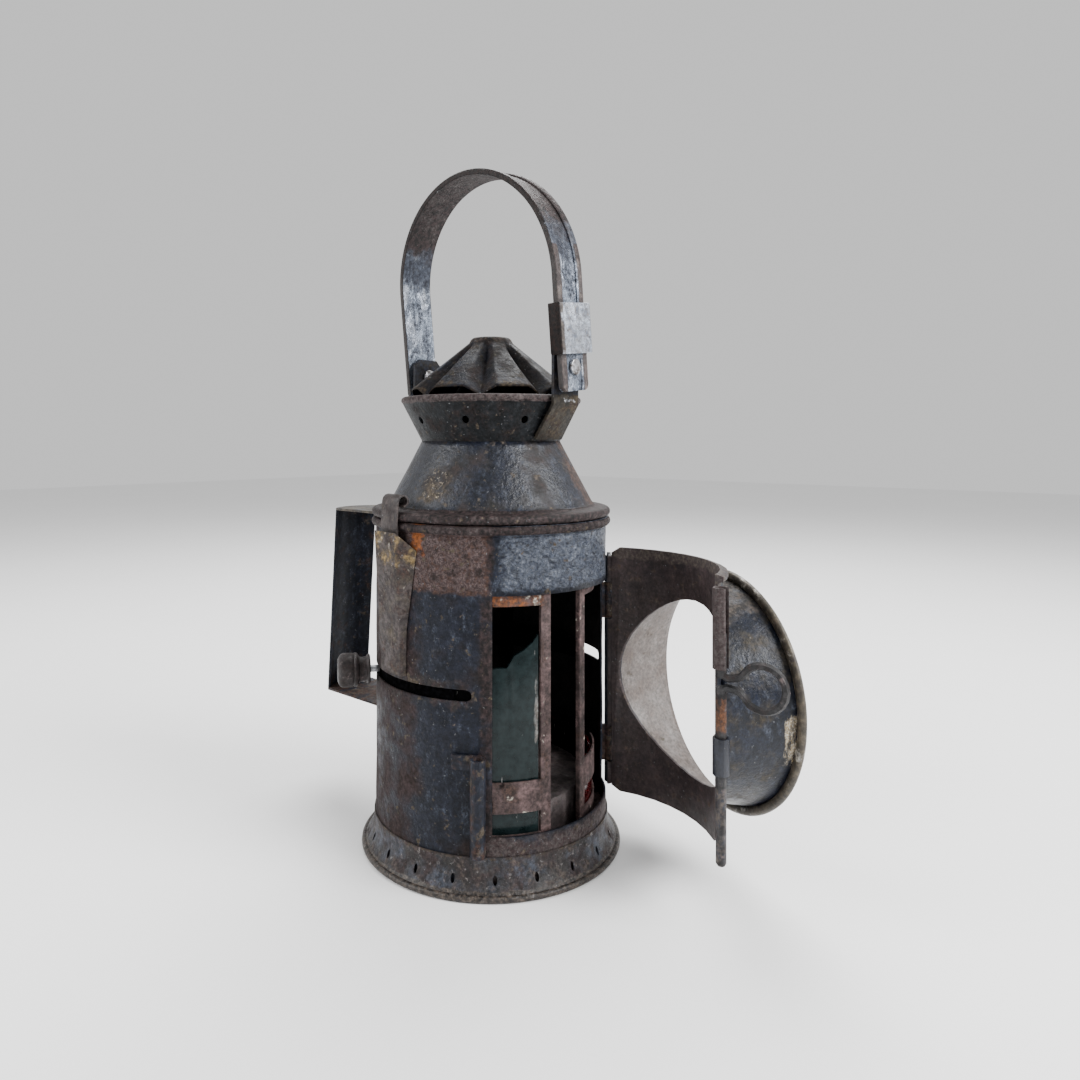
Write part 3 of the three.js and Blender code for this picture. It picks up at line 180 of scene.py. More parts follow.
def grid_piece(name, rows, around=True, closed=False, capped=False, keep=None, place=None):
    """Mesh through rows of points; around joins row ends, closed joins the last row to the first,
    capped fills both end rows, keep picks the faces that stay."""
    width = len(rows[0])
    points = [p for row in rows for p in row]
    faces = []
    for j in range(len(rows) if closed else len(rows) - 1):
        for i in range(width if around else width - 1):
            if keep is None or keep(j, i):
                below, above = j * width, (j + 1) % len(rows) * width
                right = (i + 1) % width
                faces.append((below + i, below + right, above + right, above + i))
    if capped:
        faces.append(list(range(width))[::-1])
        faces.append(list(range(len(points) - width, len(points))))
    used = sorted({v for face in faces for v in face})
    number = {v: k for k, v in enumerate(used)}
    place = place or Matrix()
    mesh = bpy.data.meshes.new(name)
    mesh.from_pydata([(place @ points[v]) * MM for v in used], [], [[number[v] for v in f] for f in faces])
    mesh.validate()
    piece = bpy.data.objects.new(name, mesh)
    bpy.context.scene.collection.objects.link(piece)
    return piece


def smoothed(piece, angle=38.0):
    piece.data.shade_smooth()
    piece.data.set_sharp_from_angle(angle=math.radians(angle))


def settle(piece):
    """Turns a piece's modifiers into plain mesh."""
    ready = piece.evaluated_get(bpy.context.evaluated_depsgraph_get())
    mesh = bpy.data.meshes.new_from_object(ready)
    piece.modifiers.clear()
    old = piece.data
    piece.data = mesh
    bpy.data.meshes.remove(old)


def thickened(piece, wall):
    """Gives a sheet its thickness, inwards, with a second material on the inside."""
    solidify = piece.modifiers.new("wall", "SOLIDIFY")
    solidify.thickness = wall * MM
    solidify.offset = -1
    solidify.use_even_offset = True
    solidify.material_offset = 1


def holed(piece, cutters):
    """Cuts every cutter out of a closed piece."""
    for cutter in cutters:
        tool = piece.modifiers.new("hole", "BOOLEAN")
        tool.operation = "DIFFERENCE"
        tool.solver = "EXACT"
        tool.object = cutter
    settle(piece)
    for cutter in cutters:
        mesh = cutter.data
        bpy.data.objects.remove(cutter)
        bpy.data.meshes.remove(mesh)


def revolved(name, profile, closed=False, dent=0.0, dent_size=30.0):
    """Profile of [radius, height] points turned about Z, with shallow dents."""
    rows = []
    for radius, z in profile:
        row = []
        for k in range(ROUND_STEPS):
            bearing = 360 * k / ROUND_STEPS
            spot = polar(radius, bearing, z)
            pushed = radius + dent * lumps(spot, dent_size) + 0.3 * dent * lumps(spot, dent_size / 4, 7.0)
            row.append(polar(pushed, bearing, z))
        rows.append(row)
    return grid_piece(name, rows, closed=closed)


def roll(radius, z, reach, start, end, count):
    """Points round a rolled edge, by the angle from straight out."""
    turns = [math.radians(start + (end - start) * k / count) for k in range(count + 1)]
    return [(radius + reach * math.cos(turned), z + reach * math.sin(turned)) for turned in turns]


def drum(name, radius, from_r, to_r, bearing, z, stretch=1.0):
    """Round cutter lying along a bearing; stretch makes it taller than wide."""
    rows = []
    for reach in (from_r, to_r):
        row = []
        for k in range(HOLE_STEPS):
            turned = 2 * math.pi * k / HOLE_STEPS
            side = polar(radius * math.cos(turned), bearing + 90, 0)
            row.append(polar(reach, bearing, z + stretch * radius * math.sin(turned)) + side)
        rows.append(row)
    return grid_piece(name, rows, capped=True)


# Shader helpers
class Net:
    """Nodes of one material; places are the solid's own, in millimetres."""

    def __init__(self, name):
        self.material = bpy.data.materials.new(name)
        self.material.use_nodes = True
        self.tree = self.material.node_tree
        self.tree.nodes.clear()
        self.shader = self.add("ShaderNodeBsdfPrincipled")
        output = self.add("ShaderNodeOutputMaterial")
        self.tree.links.new(self.shader.outputs["BSDF"], output.inputs["Surface"])
        scaled = self.add("ShaderNodeVectorMath")
        scaled.operation = "SCALE"
        self.tree.links.new(self.add("ShaderNodeTexCoord").outputs["Object"], scaled.inputs[0])
        scaled.inputs["Scale"].default_value = 1 / MM
        self.place = scaled.outputs[0]
        split = self.add("ShaderNodeSeparateXYZ")
        self.tree.links.new(self.place, split.inputs[0])
        self.x, self.y, self.z = split.outputs

    def add(self, kind):
        return self.tree.nodes.new(kind)

    def feed(self, value, socket):
        if isinstance(value, bpy.types.NodeSocket):
            self.tree.links.new(value, socket)
        elif isinstance(value, (tuple, list)) and len(value) == 3 and socket.type == "RGBA":
            socket.default_value = (*value, 1)
        else:
            socket.default_value = value

    def math(self, operation, a, b=0.0):
        node = self.add("ShaderNodeMath")
        node.operation = operation
        self.feed(a, node.inputs[0])
        self.feed(b, node.inputs[1])
        return node.outputs[0]

    def times(self, a, b):
        return self.math("MULTIPLY", a, b)

    def noise(self, size, detail=5.0, rough=0.6, stretch=(1, 1, 1), warp=0.0, seed=0.0):
        mapping = self.add("ShaderNodeMapping")
        self.feed(self.place, mapping.inputs["Vector"])
        mapping.inputs["Scale"].default_value = [s / size for s in stretch]
        mapping.inputs["Location"].default_value = (seed, -seed, 0.7 * seed)
        node = self.add("ShaderNodeTexNoise")
        self.feed(mapping.outputs[0], node.inputs["Vector"])
        node.inputs["Scale"].default_value = 1.0
        node.inputs["Detail"].default_value = detail
        node.inputs["Roughness"].default_value = rough
        node.inputs["Distortion"].default_value = warp
        return node.outputs["Fac"]

    def span(self, value, low, high):
        """0 at low, 1 at high, smooth between."""
        node = self.add("ShaderNodeMapRange")
        node.interpolation_type = "SMOOTHSTEP"
        self.feed(value, node.inputs["Value"])
        node.inputs["From Min"].default_value = low
        node.inputs["From Max"].default_value = high
        return node.outputs["Result"]

    def band(self, value, low, high, soft):
        """1 between low and high, 0 outside."""
        return self.times(self.span(value, low - soft, low + soft),
                         self.span(value, high + soft, high - soft))

    def bearing(self):
        back = self.times(self.y, -1.0)
        return self.math("DEGREES", self.math("ARCTAN2", self.x, back))

    def reach(self, x=0.0, y=0.0):
        """Distance from an upright axis."""
        dx = self.math("SUBTRACT", self.x, x)
        dy = self.math("SUBTRACT", self.y, y)
        squares = self.math("ADD", self.times(dx, dx), self.times(dy, dy))
        return self.math("SQRT", squares)

    def mix(self, amount, a, b, kind="RGBA"):
        node = self.add("ShaderNodeMix")
        node.data_type = kind
        self.feed(amount, node.inputs["Factor"])
        self.feed(a, node.inputs["A"])
        self.feed(b, node.inputs["B"])
        return node.outputs["Result"]

    def amount(self, share, a, b):
        """Number between a and b."""
        return self.mix(share, a, b, "FLOAT")

    def tinted(self, colour, field, share):
        """Colour made darker and lighter, by up to a share, along a noise field."""
        node = self.add("ShaderNodeMapRange")
        self.feed(field, node.inputs["Value"])
        node.inputs["From Min"].default_value = 0.32
        node.inputs["From Max"].default_value = 0.68
        node.inputs["To Min"].default_value = 1 - share
        node.inputs["To Max"].default_value = 1 + share
        scaled = self.add("ShaderNodeVectorMath")
        scaled.operation = "SCALE"
        self.feed(colour, scaled.inputs[0])
        self.feed(node.outputs["Result"], scaled.inputs["Scale"])
        return scaled.outputs[0]


def layer(colour, size, cover, soft=0.04, rough=0.8, lift=0.0, where=None, metal=0.0,
          detail=6.0, stretch=(1, 1, 1), warp=0.0, seed=0.0, sheen=None):
    """A coat that shows where noise of some size passes a level; cover is about the share it takes."""
    return dict(colour=colour, size=size, cover=cover, soft=soft, rough=rough, lift=lift, where=where,
                metal=metal, detail=detail, stretch=stretch, warp=warp, seed=seed, sheen=sheen)


NOISE_SPREAD = 0.33  # share of the noise's range that covers go through
PLACE_WEIGHT = 0.6  # how far a coat's noise sinks outside its place
SEED_STEP = 11.0  # sets each coat's noise apart from the one before


def coated(name, dark, light, grain, layers, rough=0.5, metal=0.0, bump=0.25, fine=0.14, lump=14.0,
           sheen=0.5, grit=0.45, clear=0.0):
    """Metal with a mottled base coat and patches laid over it, each with its own colour and relief."""
    net = Net(name)
    mottle = net.span(net.noise(grain, 7.0, 0.65), 0.35, 0.68)
    colour = net.mix(mottle, dark, light)
    roughness = net.amount(net.noise(grain / 3, 4.0, seed=3.0), rough - 0.12, rough + 0.14)
    shine = metal
    height = net.times(net.noise(lump, 4.0, 0.5, seed=9.0), bump)
    height = net.math("ADD", height, net.times(net.noise(1.7, 5.0, 0.65, seed=5.0), fine))
    for index, coat in enumerate(layers):
        level = 0.5 + NOISE_SPREAD * (0.5 - coat["cover"])
        field = net.noise(coat["size"], coat["detail"], 0.62, coat["stretch"], coat["warp"],
                          coat["seed"] + SEED_STEP * index)
        if coat["where"] is not None:
            # The place decides how low the level drops, so that patches break up at their edge
            chance = coat["where"](net)
            field = net.math("ADD", field, net.times(net.math("SUBTRACT", chance, 1.0), PLACE_WEIGHT))
        shown = net.span(field, level - coat["soft"], level + coat["soft"])
        tone = coat["colour"]
        if len(tone) == 2:
            tone = net.mix(net.span(net.noise(coat["size"] / 4, 5.0, seed=2.0 + index), 0.35, 0.65), *tone)
        colour = net.mix(shown, colour, tone)
        roughness = net.amount(shown, roughness, coat["rough"])
        if metal or coat["metal"]:
            shine = net.amount(shown, shine, coat["metal"])
        if coat["lift"]:
            height = net.math("ADD", height, net.times(shown, coat["lift"]))
        if coat["sheen"] is not None:
            sheen = net.amount(shown, sheen, coat["sheen"])
    colour = net.tinted(colour, net.noise(1.5, 6.0, 0.7, seed=17.0), grit)
    net.feed(colour, net.shader.inputs["Base Color"])
    net.feed(roughness, net.shader.inputs["Roughness"])
    net.feed(shine, net.shader.inputs["Metallic"])
    net.feed(sheen, net.shader.inputs["Specular IOR Level"])
    net.feed(clear, net.shader.inputs["Transmission Weight"])
    relief = net.add("ShaderNodeBump")
    relief.inputs["Strength"].default_value = 0.9
    relief.inputs["Distance"].default_value = MM
    net.feed(height, relief.inputs["Height"])
    net.feed(relief.outputs["Normal"], net.shader.inputs["Normal"])
    return net.material


# Colours, linear
NAVY = (0.0042, 0.0052, 0.009)
NAVY_LIGHT = (0.0105, 0.0125, 0.0205)
SCUFF = (0.045, 0.053, 0.072)
SHINE = (0.11, 0.12, 0.14)
BLACK_BROWN = (0.008, 0.007, 0.007)
BLACK_BROWN_LIGHT = (0.026, 0.023, 0.022)
# UNLIT and the next colour stand in as painted shade behind the barrel's wall; the next colour is also
# real soot on the burner, wick and inner walls
UNLIT = (0.0012, 0.0012, 0.0013)
SOOT_AND_SHADE = (0.003, 0.003, 0.0035)
SOOT_LIGHT = (0.009, 0.008, 0.008)
RUST = (0.05, 0.028, 0.021)
RUST_DARK = (0.016, 0.01, 0.009)
RUST_ORANGE = (0.17, 0.055, 0.017)
MAUVE = (0.03, 0.02, 0.02)
MAUVE_LIGHT = (0.085, 0.062, 0.06)
OLIVE = (0.042, 0.033, 0.021)
OCHRE = (0.2, 0.135, 0.055)
CREAM = (0.42, 0.39, 0.33)
PALE = (0.2, 0.2, 0.195)
STEEL = (0.3, 0.315, 0.345)
STEEL_LIGHT = (0.56, 0.575, 0.61)
STEEL_PALE = (0.48, 0.53, 0.62)
STEEL_BLUE = (0.13, 0.15, 0.19)
GREY_BROWN = (0.068, 0.054, 0.044)
RIM_GREY = (0.052, 0.043, 0.042)
TIN = (0.15, 0.14, 0.14)
TIN_DARK = (0.05, 0.042, 0.042)
BRASS = (0.26, 0.18, 0.075)
BRASS_DARK = (0.06, 0.042, 0.02)
COTTON = (0.36, 0.32, 0.24)
COTTON_DARK = (0.1, 0.08, 0.06)
GREEN = (0.0035, 0.008, 0.0085)
GREEN_PALE = (0.009, 0.0165, 0.0175)
RED = (0.06, 0.004, 0.005)
RED_DARK = (0.022, 0.0025, 0.003)

# Specks and scuffs that all the painted sheet shares
SPECKS = layer((SCUFF, PALE), 1.5, -0.07, 0.05, 0.5, 0.03, seed=4.0)
OLIVE_SPECKS = layer((OLIVE, GREY_BROWN), 4.0, 0.05, 0.04, 0.8, 0.04, seed=21.0)
SCUFFS = layer((NAVY_LIGHT, SCUFF), 3.0, 0.12, 0.12, 0.42, 0.03, stretch=(1, 1, 0.5), seed=13.0)


def painted_barrel():
    """Blue-black paint, rusty at the left, beside the doorway, along the slot and below the rim, with a
    painted highlight on the band above the doorway.
    """
    low, high = DOORWAY_Z

    def left_side(net):
        return net.band(net.bearing(), -140, -78, 14)

    def beside_doorway(net):
        return net.band(net.bearing(), -doorway_half - 7, -doorway_half + 2, 3)

    def along_slot(net):
        level = net.band(net.z, SLOT_Z - 9, SLOT_Z + 9, 5)
        return net.times(level, net.span(net.bearing(), -40, -60))

    def top_band_left(net):
        upper = net.span(net.z, high - 3, high + 3)
        return net.times(upper, net.band(net.bearing(), -100, -49, 4))

    def beside_pocket(net):
        return net.times(net.span(net.z, 126, 142), net.band(net.bearing(), -89, -77, 5))

    def top_band_right(net):
        upper = net.span(net.z, high - 1, high + 3)
        return net.times(upper, net.span(net.bearing(), -50, -42))

    def low_down(net):
        return net.times(net.span(net.z, low + 6, low - 4), net.span(net.bearing(), -58, -46))

    def rim(net):
        return net.span(net.reach(), BARREL_R + 0.5, BARREL_R + 1.2)

    return coated("barrel_paint", NAVY, NAVY_LIGHT, 8.0, [
        SCUFFS,
        layer((RUST_DARK, BLACK_BROWN), 24.0, 0.2, 0.1, 0.72, 0.04),
        layer((RUST_DARK, MAUVE), 13.0, 0.66, 0.14, 0.78, 0.05, where=left_side),
        layer((BLACK_BROWN, MAUVE), 9.0, 0.7, 0.12, 0.8, 0.05, where=beside_doorway),
        layer((MAUVE, BLACK_BROWN_LIGHT), 8.0, 0.5, 0.1, 0.8, 0.04, where=along_slot),
        layer((MAUVE, RIM_GREY), 7.0, 0.95, 0.12, 0.74, 0.06, where=low_down),
        layer((RUST, MAUVE), 5.0, 1.2, 0.12, 0.75, 0.06, where=top_band_left),
        layer((MAUVE, MAUVE_LIGHT), 1.8, 0.62, 0.1, 0.7, 0.06, where=top_band_left),
        layer((BLACK_BROWN, RUST_DARK), 5.0, 0.16, 0.1, 0.7, 0.03, where=top_band_left),
        layer(RUST_ORANGE, 6.0, 0.62, 0.1, 0.85, 0.04, where=beside_pocket),
        # painted highlight over real wrinkled paint: lighter blue-grey wrinkles across the band above the
        # doorway and round the right, standing in for the key light's reflection
        layer((NAVY_LIGHT, SCUFF), 6.0, 1.0, 0.25, 0.3, 0.6, where=top_band_right, detail=4.0,
              stretch=(0.7, 0.7, 1.2), warp=1.2),
        layer((SCUFF, SHINE), 5.0, 0.36, 0.22, 0.26, 0.5, where=top_band_right, detail=4.0,
              stretch=(0.7, 0.7, 1.3), warp=1.8),
        layer((BLACK_BROWN, MAUVE), 5.0, 1.3, 0.1, 0.62, 0.03, where=rim),
        layer((MAUVE, RIM_GREY), 4.0, 0.3, 0.1, 0.6, 0.03, where=rim),
        OLIVE_SPECKS,
        SPECKS,
    ], rough=0.36, bump=0.6, fine=0.46, sheen=0.14, grit=0.62)


def painted_cone():
    """The lid's slope: darker paint, a speckled patch at its left and a brown ledge and rim."""
    ledge = cone_low.z + LEDGE_DROP

    def patch(net):
        level = net.band(net.z, ledge + 2, ledge + 20, 4)
        return net.times(net.band(net.bearing(), -98, -70, 8), level)

    def edge(net):
        return net.span(net.z, ledge + 1.6, ledge + 0.2)

    def right(net):
        return net.band(net.bearing(), 8, 45, 10)

    return coated("cone_paint", NAVY, NAVY_LIGHT, 7.0, [
        SCUFFS,
        layer((RUST_DARK, BLACK_BROWN), 18.0, 0.3, 0.1, 0.7, 0.04),
        layer((OLIVE, GREY_BROWN), 6.0, 0.5, 0.14, 0.8, 0.04, where=patch),
        layer((OCHRE, CREAM), 1.3, 0.12, 0.08, 0.7, 0.04, where=patch),
        layer((RUST_DARK, RUST), 9.0, 0.6, 0.1, 0.75, 0.04, where=right),
        layer((BLACK_BROWN, MAUVE), 6.0, 1.3, 0.1, 0.62, 0.04, where=edge, sheen=0.16),
        layer((MAUVE, RIM_GREY), 4.0, 0.2, 0.1, 0.6, 0.04, where=edge),
        OLIVE_SPECKS,
        SPECKS,
    ], rough=0.32, bump=0.7, fine=0.46, sheen=0.34, grit=0.8)


def painted_collar():
    """Black paint with a brown rim."""
    def rim(net):
        return net.span(net.z, collar_high.z - 4.2, collar_high.z - 2.6)

    return coated("collar_paint", (0.0035, 0.0042, 0.005), (0.011, 0.0125, 0.0145), 4.0, [
        layer((BLACK_BROWN, RUST_DARK), 8.0, 0.3, 0.1, 0.7, 0.05),
        layer((OLIVE, GREY_BROWN), 2.5, 0.04, 0.06, 0.7, 0.04),
        layer((MAUVE, RIM_GREY), 5.0, 1.1, 0.1, 0.62, 0.04, where=rim),
        SPECKS,
    ], rough=0.45, bump=0.5, fine=0.34, sheen=0.12, grit=0.85)


def painted_cap():
    """Charcoal lobes with worn, lighter outer edges."""
    def edges(net):
        return net.span(net.reach(), CAP_R - 9, CAP_R - 2)

    def crown(net):
        return net.span(net.reach(), CAP_TOP_R + 6, CAP_TOP_R - 1)

    return coated("cap_paint", (0.0026, 0.0028, 0.0045), (0.0075, 0.0075, 0.0085), 6.0, [
        layer((NAVY, NAVY_LIGHT), 9.0, 0.4, 0.12, 0.45, 0.03),
        layer((RUST_DARK, BLACK_BROWN), 8.0, 0.42, 0.12, 0.7, 0.05),
        layer((BLACK_BROWN, OLIVE), 5.0, 0.16, 0.1, 0.7, 0.04),
        layer((RUST_DARK, OLIVE), 4.0, 0.45, 0.1, 0.66, 0.05, where=edges),
        layer((MAUVE, OLIVE), 5.0, 0.4, 0.1, 0.66, 0.04, where=crown),
        layer((SCUFF, PALE), 1.6, -0.08, 0.05, 0.5, 0.03, seed=31.0),
        SPECKS,
    ], rough=0.36, bump=0.6, fine=0.3, sheen=0.1, grit=0.7)


def painted_base():
    """Brown-black and worn blue paint, with a brown upper edge and foot."""
    def foot(net):
        return net.span(net.z, 5.0, 3.2)

    def ledge(net):
        return net.span(net.z, skirt_high.z - 3, skirt_high.z - 0.5)

    return coated("base_paint", BLACK_BROWN, BLACK_BROWN_LIGHT, 6.0, [
        layer((NAVY_LIGHT, SCUFF), 14.0, 0.42, 0.12, 0.42, 0.05),
        layer((RUST_DARK, MAUVE), 9.0, 0.36, 0.12, 0.75, 0.06),
        layer((GREY_BROWN, MAUVE), 5.0, 0.2, 0.1, 0.7, 0.05),
        layer((BLACK_BROWN, GREY_BROWN), 6.0, 0.9, 0.12, 0.36, 0.08, where=foot),
        layer((MAUVE, OLIVE), 5.0, 0.5, 0.1, 0.75, 0.04, where=ledge),
        layer((MAUVE_LIGHT, PALE), 2.4, 0.0, 0.08, 0.5, 0.04),
        SPECKS,
    ], rough=0.4, bump=0.7, fine=0.42, sheen=0.3, grit=0.8)


def plain_paint(name, share):
    """Blue-black paint on the small fittings, with a share of rust."""
    return coated(name, NAVY, NAVY_LIGHT, 6.0, [
        SCUFFS,
        layer((RUST_DARK, RUST), 7.0, share, 0.1, 0.75, 0.05),
        layer((OLIVE, GREY_BROWN), 4.0, share * 0.45, 0.07, 0.7, 0.04),
        SPECKS,
    ], rough=0.48, bump=0.35, lump=8.0, sheen=0.18, grit=0.6)


def rusty(name, dark, light, accents, rough=0.76):
    """Rusted sheet with accents laid over it."""
    return coated(name, dark, light, 6.0, [
        layer((RUST_DARK, dark), 9.0, 0.42, 0.1, 0.8, 0.04),
        *accents,
    ], rough=rough, bump=0.5, fine=0.24, lump=8.0, sheen=0.35, grit=0.65)


def shade_finish():
    """Red-brown frame with an orange, peeling top rail, and painted shade: near-black without reflection
    where it stands behind the barrel's wall.
    """
    def behind_wall(net):
        return net.span(net.math("ABSOLUTE", net.bearing()), doorway_half - 1, doorway_half + 2)

    def top_rail(net):
        return net.times(net.span(net.z, 114, 118), net.span(net.bearing(), -20, -24))

    def rail_peel(net):
        return net.times(net.span(net.z, 114, 118), net.band(net.bearing(), -30, -24, 2))

    return rusty("frame_rust_and_painted_shade", (0.045, 0.029, 0.028), (0.108, 0.068, 0.066), [
        layer((RUST, RUST_ORANGE), 5.0, 0.62, 0.12, 0.85, 0.05, where=top_rail),
        layer((CREAM, MAUVE_LIGHT), 4.0, 0.62, 0.08, 0.7, 0.06, where=rail_peel),
        layer((RUST_DARK, RUST), 6.0, 0.2, 0.1, 0.85, 0.05),
        layer(CREAM, 3.5, -0.06, 0.06, 0.7, 0.04),
        # painted shade: near-black, without reflection, where the frame stands behind the barrel's wall
        layer((UNLIT, SOOT_AND_SHADE), 7.0, 1.8, 0.1, 0.95, 0.0, where=behind_wall, sheen=0.0)])


def pocket_finish():
    """Brown sheet with ochre at the top and pale chips."""
    return rusty("pocket_rust", (0.02, 0.016, 0.016), (0.06, 0.047, 0.045), [
        layer((OLIVE, GREY_BROWN), 8.0, 0.3, 0.12, 0.75, 0.04),
        layer((OCHRE, OLIVE), 7.0, 0.42, 0.1, 0.8, 0.05, where=lambda net: net.span(net.z, 118, 138)),
        layer((MAUVE_LIGHT, CREAM), 3.5, 0.06, 0.08, 0.7, 0.05,
              where=lambda net: net.span(net.z, 112, 124)),
        layer((RUST, RUST_DARK), 5.0, 0.2, 0.1, 0.8, 0.05),
        SPECKS], rough=0.6)


def spring_finish():
    return rusty("spring_rust", (0.015, 0.011, 0.011), (0.042, 0.031, 0.029), [
        layer((OLIVE, GREY_BROWN), 3.0, 0.06, 0.06, 0.6, 0.03),
        SPECKS], rough=0.5)


def rod_finish():
    """Black rod with a rusted stretch between its guides."""
    def on_rod(net):
        near = net.span(net.reach(ROD_FOOT.x, ROD_FOOT.y), 4.0, 2.5)
        return net.times(near, net.band(net.z, 74, 90, 3))

    return rusty("rod_rust", (0.006, 0.006, 0.007), (0.022, 0.021, 0.022), [
        layer((RUST, (0.11, 0.045, 0.02)), 4.0, 0.75, 0.1, 0.85, 0.05, where=on_rod),
        layer((NAVY_LIGHT, GREY_BROWN), 5.0, 0.5, 0.1, 0.5, 0.03,
              where=lambda net: net.span(net.z, 64, 56)),
        layer(MAUVE_LIGHT, 3.0, 0.04, 0.06, 0.5, 0.02)], rough=0.5)


def plate_finish():
    """Olive-brown plate with paint left on it."""
    return rusty("plate_rust", (0.035, 0.029, 0.022), (0.08, 0.066, 0.05), [
        layer((NAVY, NAVY_LIGHT), 9.0, 0.3, 0.1, 0.5, 0.04)], rough=0.62)


def knob_finish():
    return rusty("knob_mauve", (0.011, 0.0085, 0.0085), (0.028, 0.021, 0.021), [
        layer((MAUVE, MAUVE_LIGHT), 3.0, 0.06, 0.1, 0.5, 0.03)], rough=0.46)


def door_finish():
    """Maroon-brown inside, blue-black paint outside, by the distance from the door's own axis."""
    def outside(net):
        return net.span(net.reach(DOOR_AXIS.x, DOOR_AXIS.y), DOOR_SKIN_R - 0.45, DOOR_SKIN_R - 0.15)

    def top_edge(net):
        return net.span(net.z, 126, 131)

    def upper_guide(net):
        near = net.span(net.reach(ROD_FOOT.x, ROD_FOOT.y), 4.6, 3.8)
        return net.times(near, net.span(net.z, 92, 96))

    return coated("door_skin", (0.016, 0.011, 0.012), (0.046, 0.031, 0.031), 8.0, [
        layer((RUST_DARK, MAUVE), 10.0, 0.45, 0.14, 0.66, 0.05),
        layer((RUST, GREY_BROWN), 5.0, 0.12, 0.08, 0.82, 0.05),
        layer((NAVY, NAVY_LIGHT), 9.0, 1.6, 0.12, 0.42, 0.0, where=outside),
        layer((MAUVE, GREY_BROWN), 6.0, 0.75, 0.1, 0.7, 0.03, where=top_edge),
        layer((MAUVE, RIM_GREY), 5.0, 1.3, 0.1, 0.75, 0.05, where=upper_guide, sheen=0.2),
        SPECKS,
    ], rough=0.55, bump=0.5, fine=0.2, sheen=0.4)


def along_strap(net):
    """Distance from the middle of the leaning strap."""
    rise = net.math("SUBTRACT", net.z, bail_pivot.z)
    return net.math("ADD", net.x, net.times(rise, math.tan(bail_lean)))


def strap_finish():
    """Worn steel: silver-blue low on the legs, brown over the arch and along the hems."""
    def outer_face(net):
        return net.span(net.math("ABSOLUTE", net.y), strap_high.y - 2.0, strap_high.y - 1.2)

    def hem(net):
        fold = STRAP_HALF - STRAP_HEM_WIDTH
        return net.span(net.math("ABSOLUTE", along_strap(net)), fold - 0.4, fold + 1.5)

    def outside_hem(net):
        return net.times(hem(net), outer_face(net))

    def shoulder(net):
        return net.span(net.z, BAIL_SPRING_Z - 6, BAIL_SPRING_Z + 12)

    def arch(net):
        return net.span(net.z, BAIL_SPRING_Z + 10, BAIL_SPRING_Z + 34)

    def sides(net):
        return net.span(net.math("ABSOLUTE", along_strap(net)), STRAP_HALF - 0.7, STRAP_HALF - 0.2)

    return coated("strap_steel", (0.085, 0.1, 0.13), (0.26, 0.3, 0.365), 3.5, [
        layer((STEEL_PALE, STEEL), 6.0, 0.34, 0.1, 0.3, 0.08, metal=0.8, stretch=(1, 1, 0.5)),
        layer((NAVY_LIGHT, STEEL_BLUE), 5.0, 0.5, 0.08, 0.36, -0.2, metal=0.4, stretch=(1, 1, 0.45),
              warp=0.8),
        layer((NAVY_LIGHT, SCUFF), 9.0, 1.0, 0.12, 0.45, 0.03, where=shoulder, metal=0.2, sheen=0.3),
        layer((BLACK_BROWN, MAUVE), 9.0, 1.5, 0.16, 0.66, 0.05, where=arch, sheen=0.2),
        layer((RUST_DARK, RIM_GREY), 4.0, 0.4, 0.1, 0.6, 0.03, where=arch, sheen=0.2),
        layer((RUST_DARK, MAUVE), 7.0, 1.15, 0.1, 0.62, 0.04, where=outside_hem),
        layer((GREY_BROWN, MAUVE_LIGHT), 4.0, 0.35, 0.1, 0.5, 0.03, where=outside_hem),
        layer((RUST_DARK, BLACK_BROWN), 6.0, 1.2, 0.1, 0.62, 0.04, where=sides),
        SPECKS,
    ], rough=0.38, metal=0.7, bump=0.6, fine=0.12, lump=5.0)


def ear_finish():
    """Rough olive-brown, bright where the bend has lost its coat."""
    def bend(net):
        level = net.band(net.z, EAR_BEND_Z, EAR_BEND_Z + 3, 2.4)
        return net.times(level, net.band(net.x, -4, 8, 5))

    def above(net):
        return net.span(net.z, EAR_BEND_Z + 2, EAR_BEND_Z + 5)

    return coated("ear_steel", (0.009, 0.008, 0.0068), (0.034, 0.029, 0.023), 4.0, [
        layer((RUST_DARK, OLIVE), 6.0, 0.4, 0.1, 0.75, 0.06),
        layer((BLACK_BROWN, NAVY_LIGHT), 7.0, 0.8, 0.1, 0.5, 0.02, where=above),
        layer((STEEL, STEEL_LIGHT), 2.4, 0.8, 0.1, 0.4, 0.05, where=bend, metal=0.6),
        SPECKS,
    ], rough=0.62, metal=0.1, bump=0.4, fine=0.24, lump=5.0, sheen=0.15)


def sleeve_finish():
    """Pale worn steel with a brown corner, and a dark side: painted shade on the side turned away from the
    key light, mixed with rust-brown.
    """
    edge = STRAP_HALF + 1.7

    def corner(net):
        return net.span(along_strap(net), -edge + 4.2, -edge + 2.6)

    def side(net):
        return net.span(along_strap(net), -edge + 1.1, -edge + 0.5)

    return coated("sleeve_steel", STEEL, STEEL_PALE, 3.0, [
        layer((STEEL_BLUE, TIN), 5.0, 0.4, 0.1, 0.42, 0.05, metal=0.5),
        layer((TIN_DARK, STEEL_BLUE), 1.8, 0.24, 0.08, 0.5, -0.08, metal=0.3),
        layer((RUST_DARK, GREY_BROWN), 6.0, 0.85, 0.1, 0.62, 0.05, where=corner),
        # painted shade: the side turned away from the key light is darkened to brown-black, mixed with
        # rust-brown
        layer((BLACK_BROWN, RUST_DARK), 6.0, 1.5, 0.1, 0.6, 0.03, where=side, sheen=0.12),
    ], rough=0.36, metal=0.85, bump=0.3, lump=5.0)


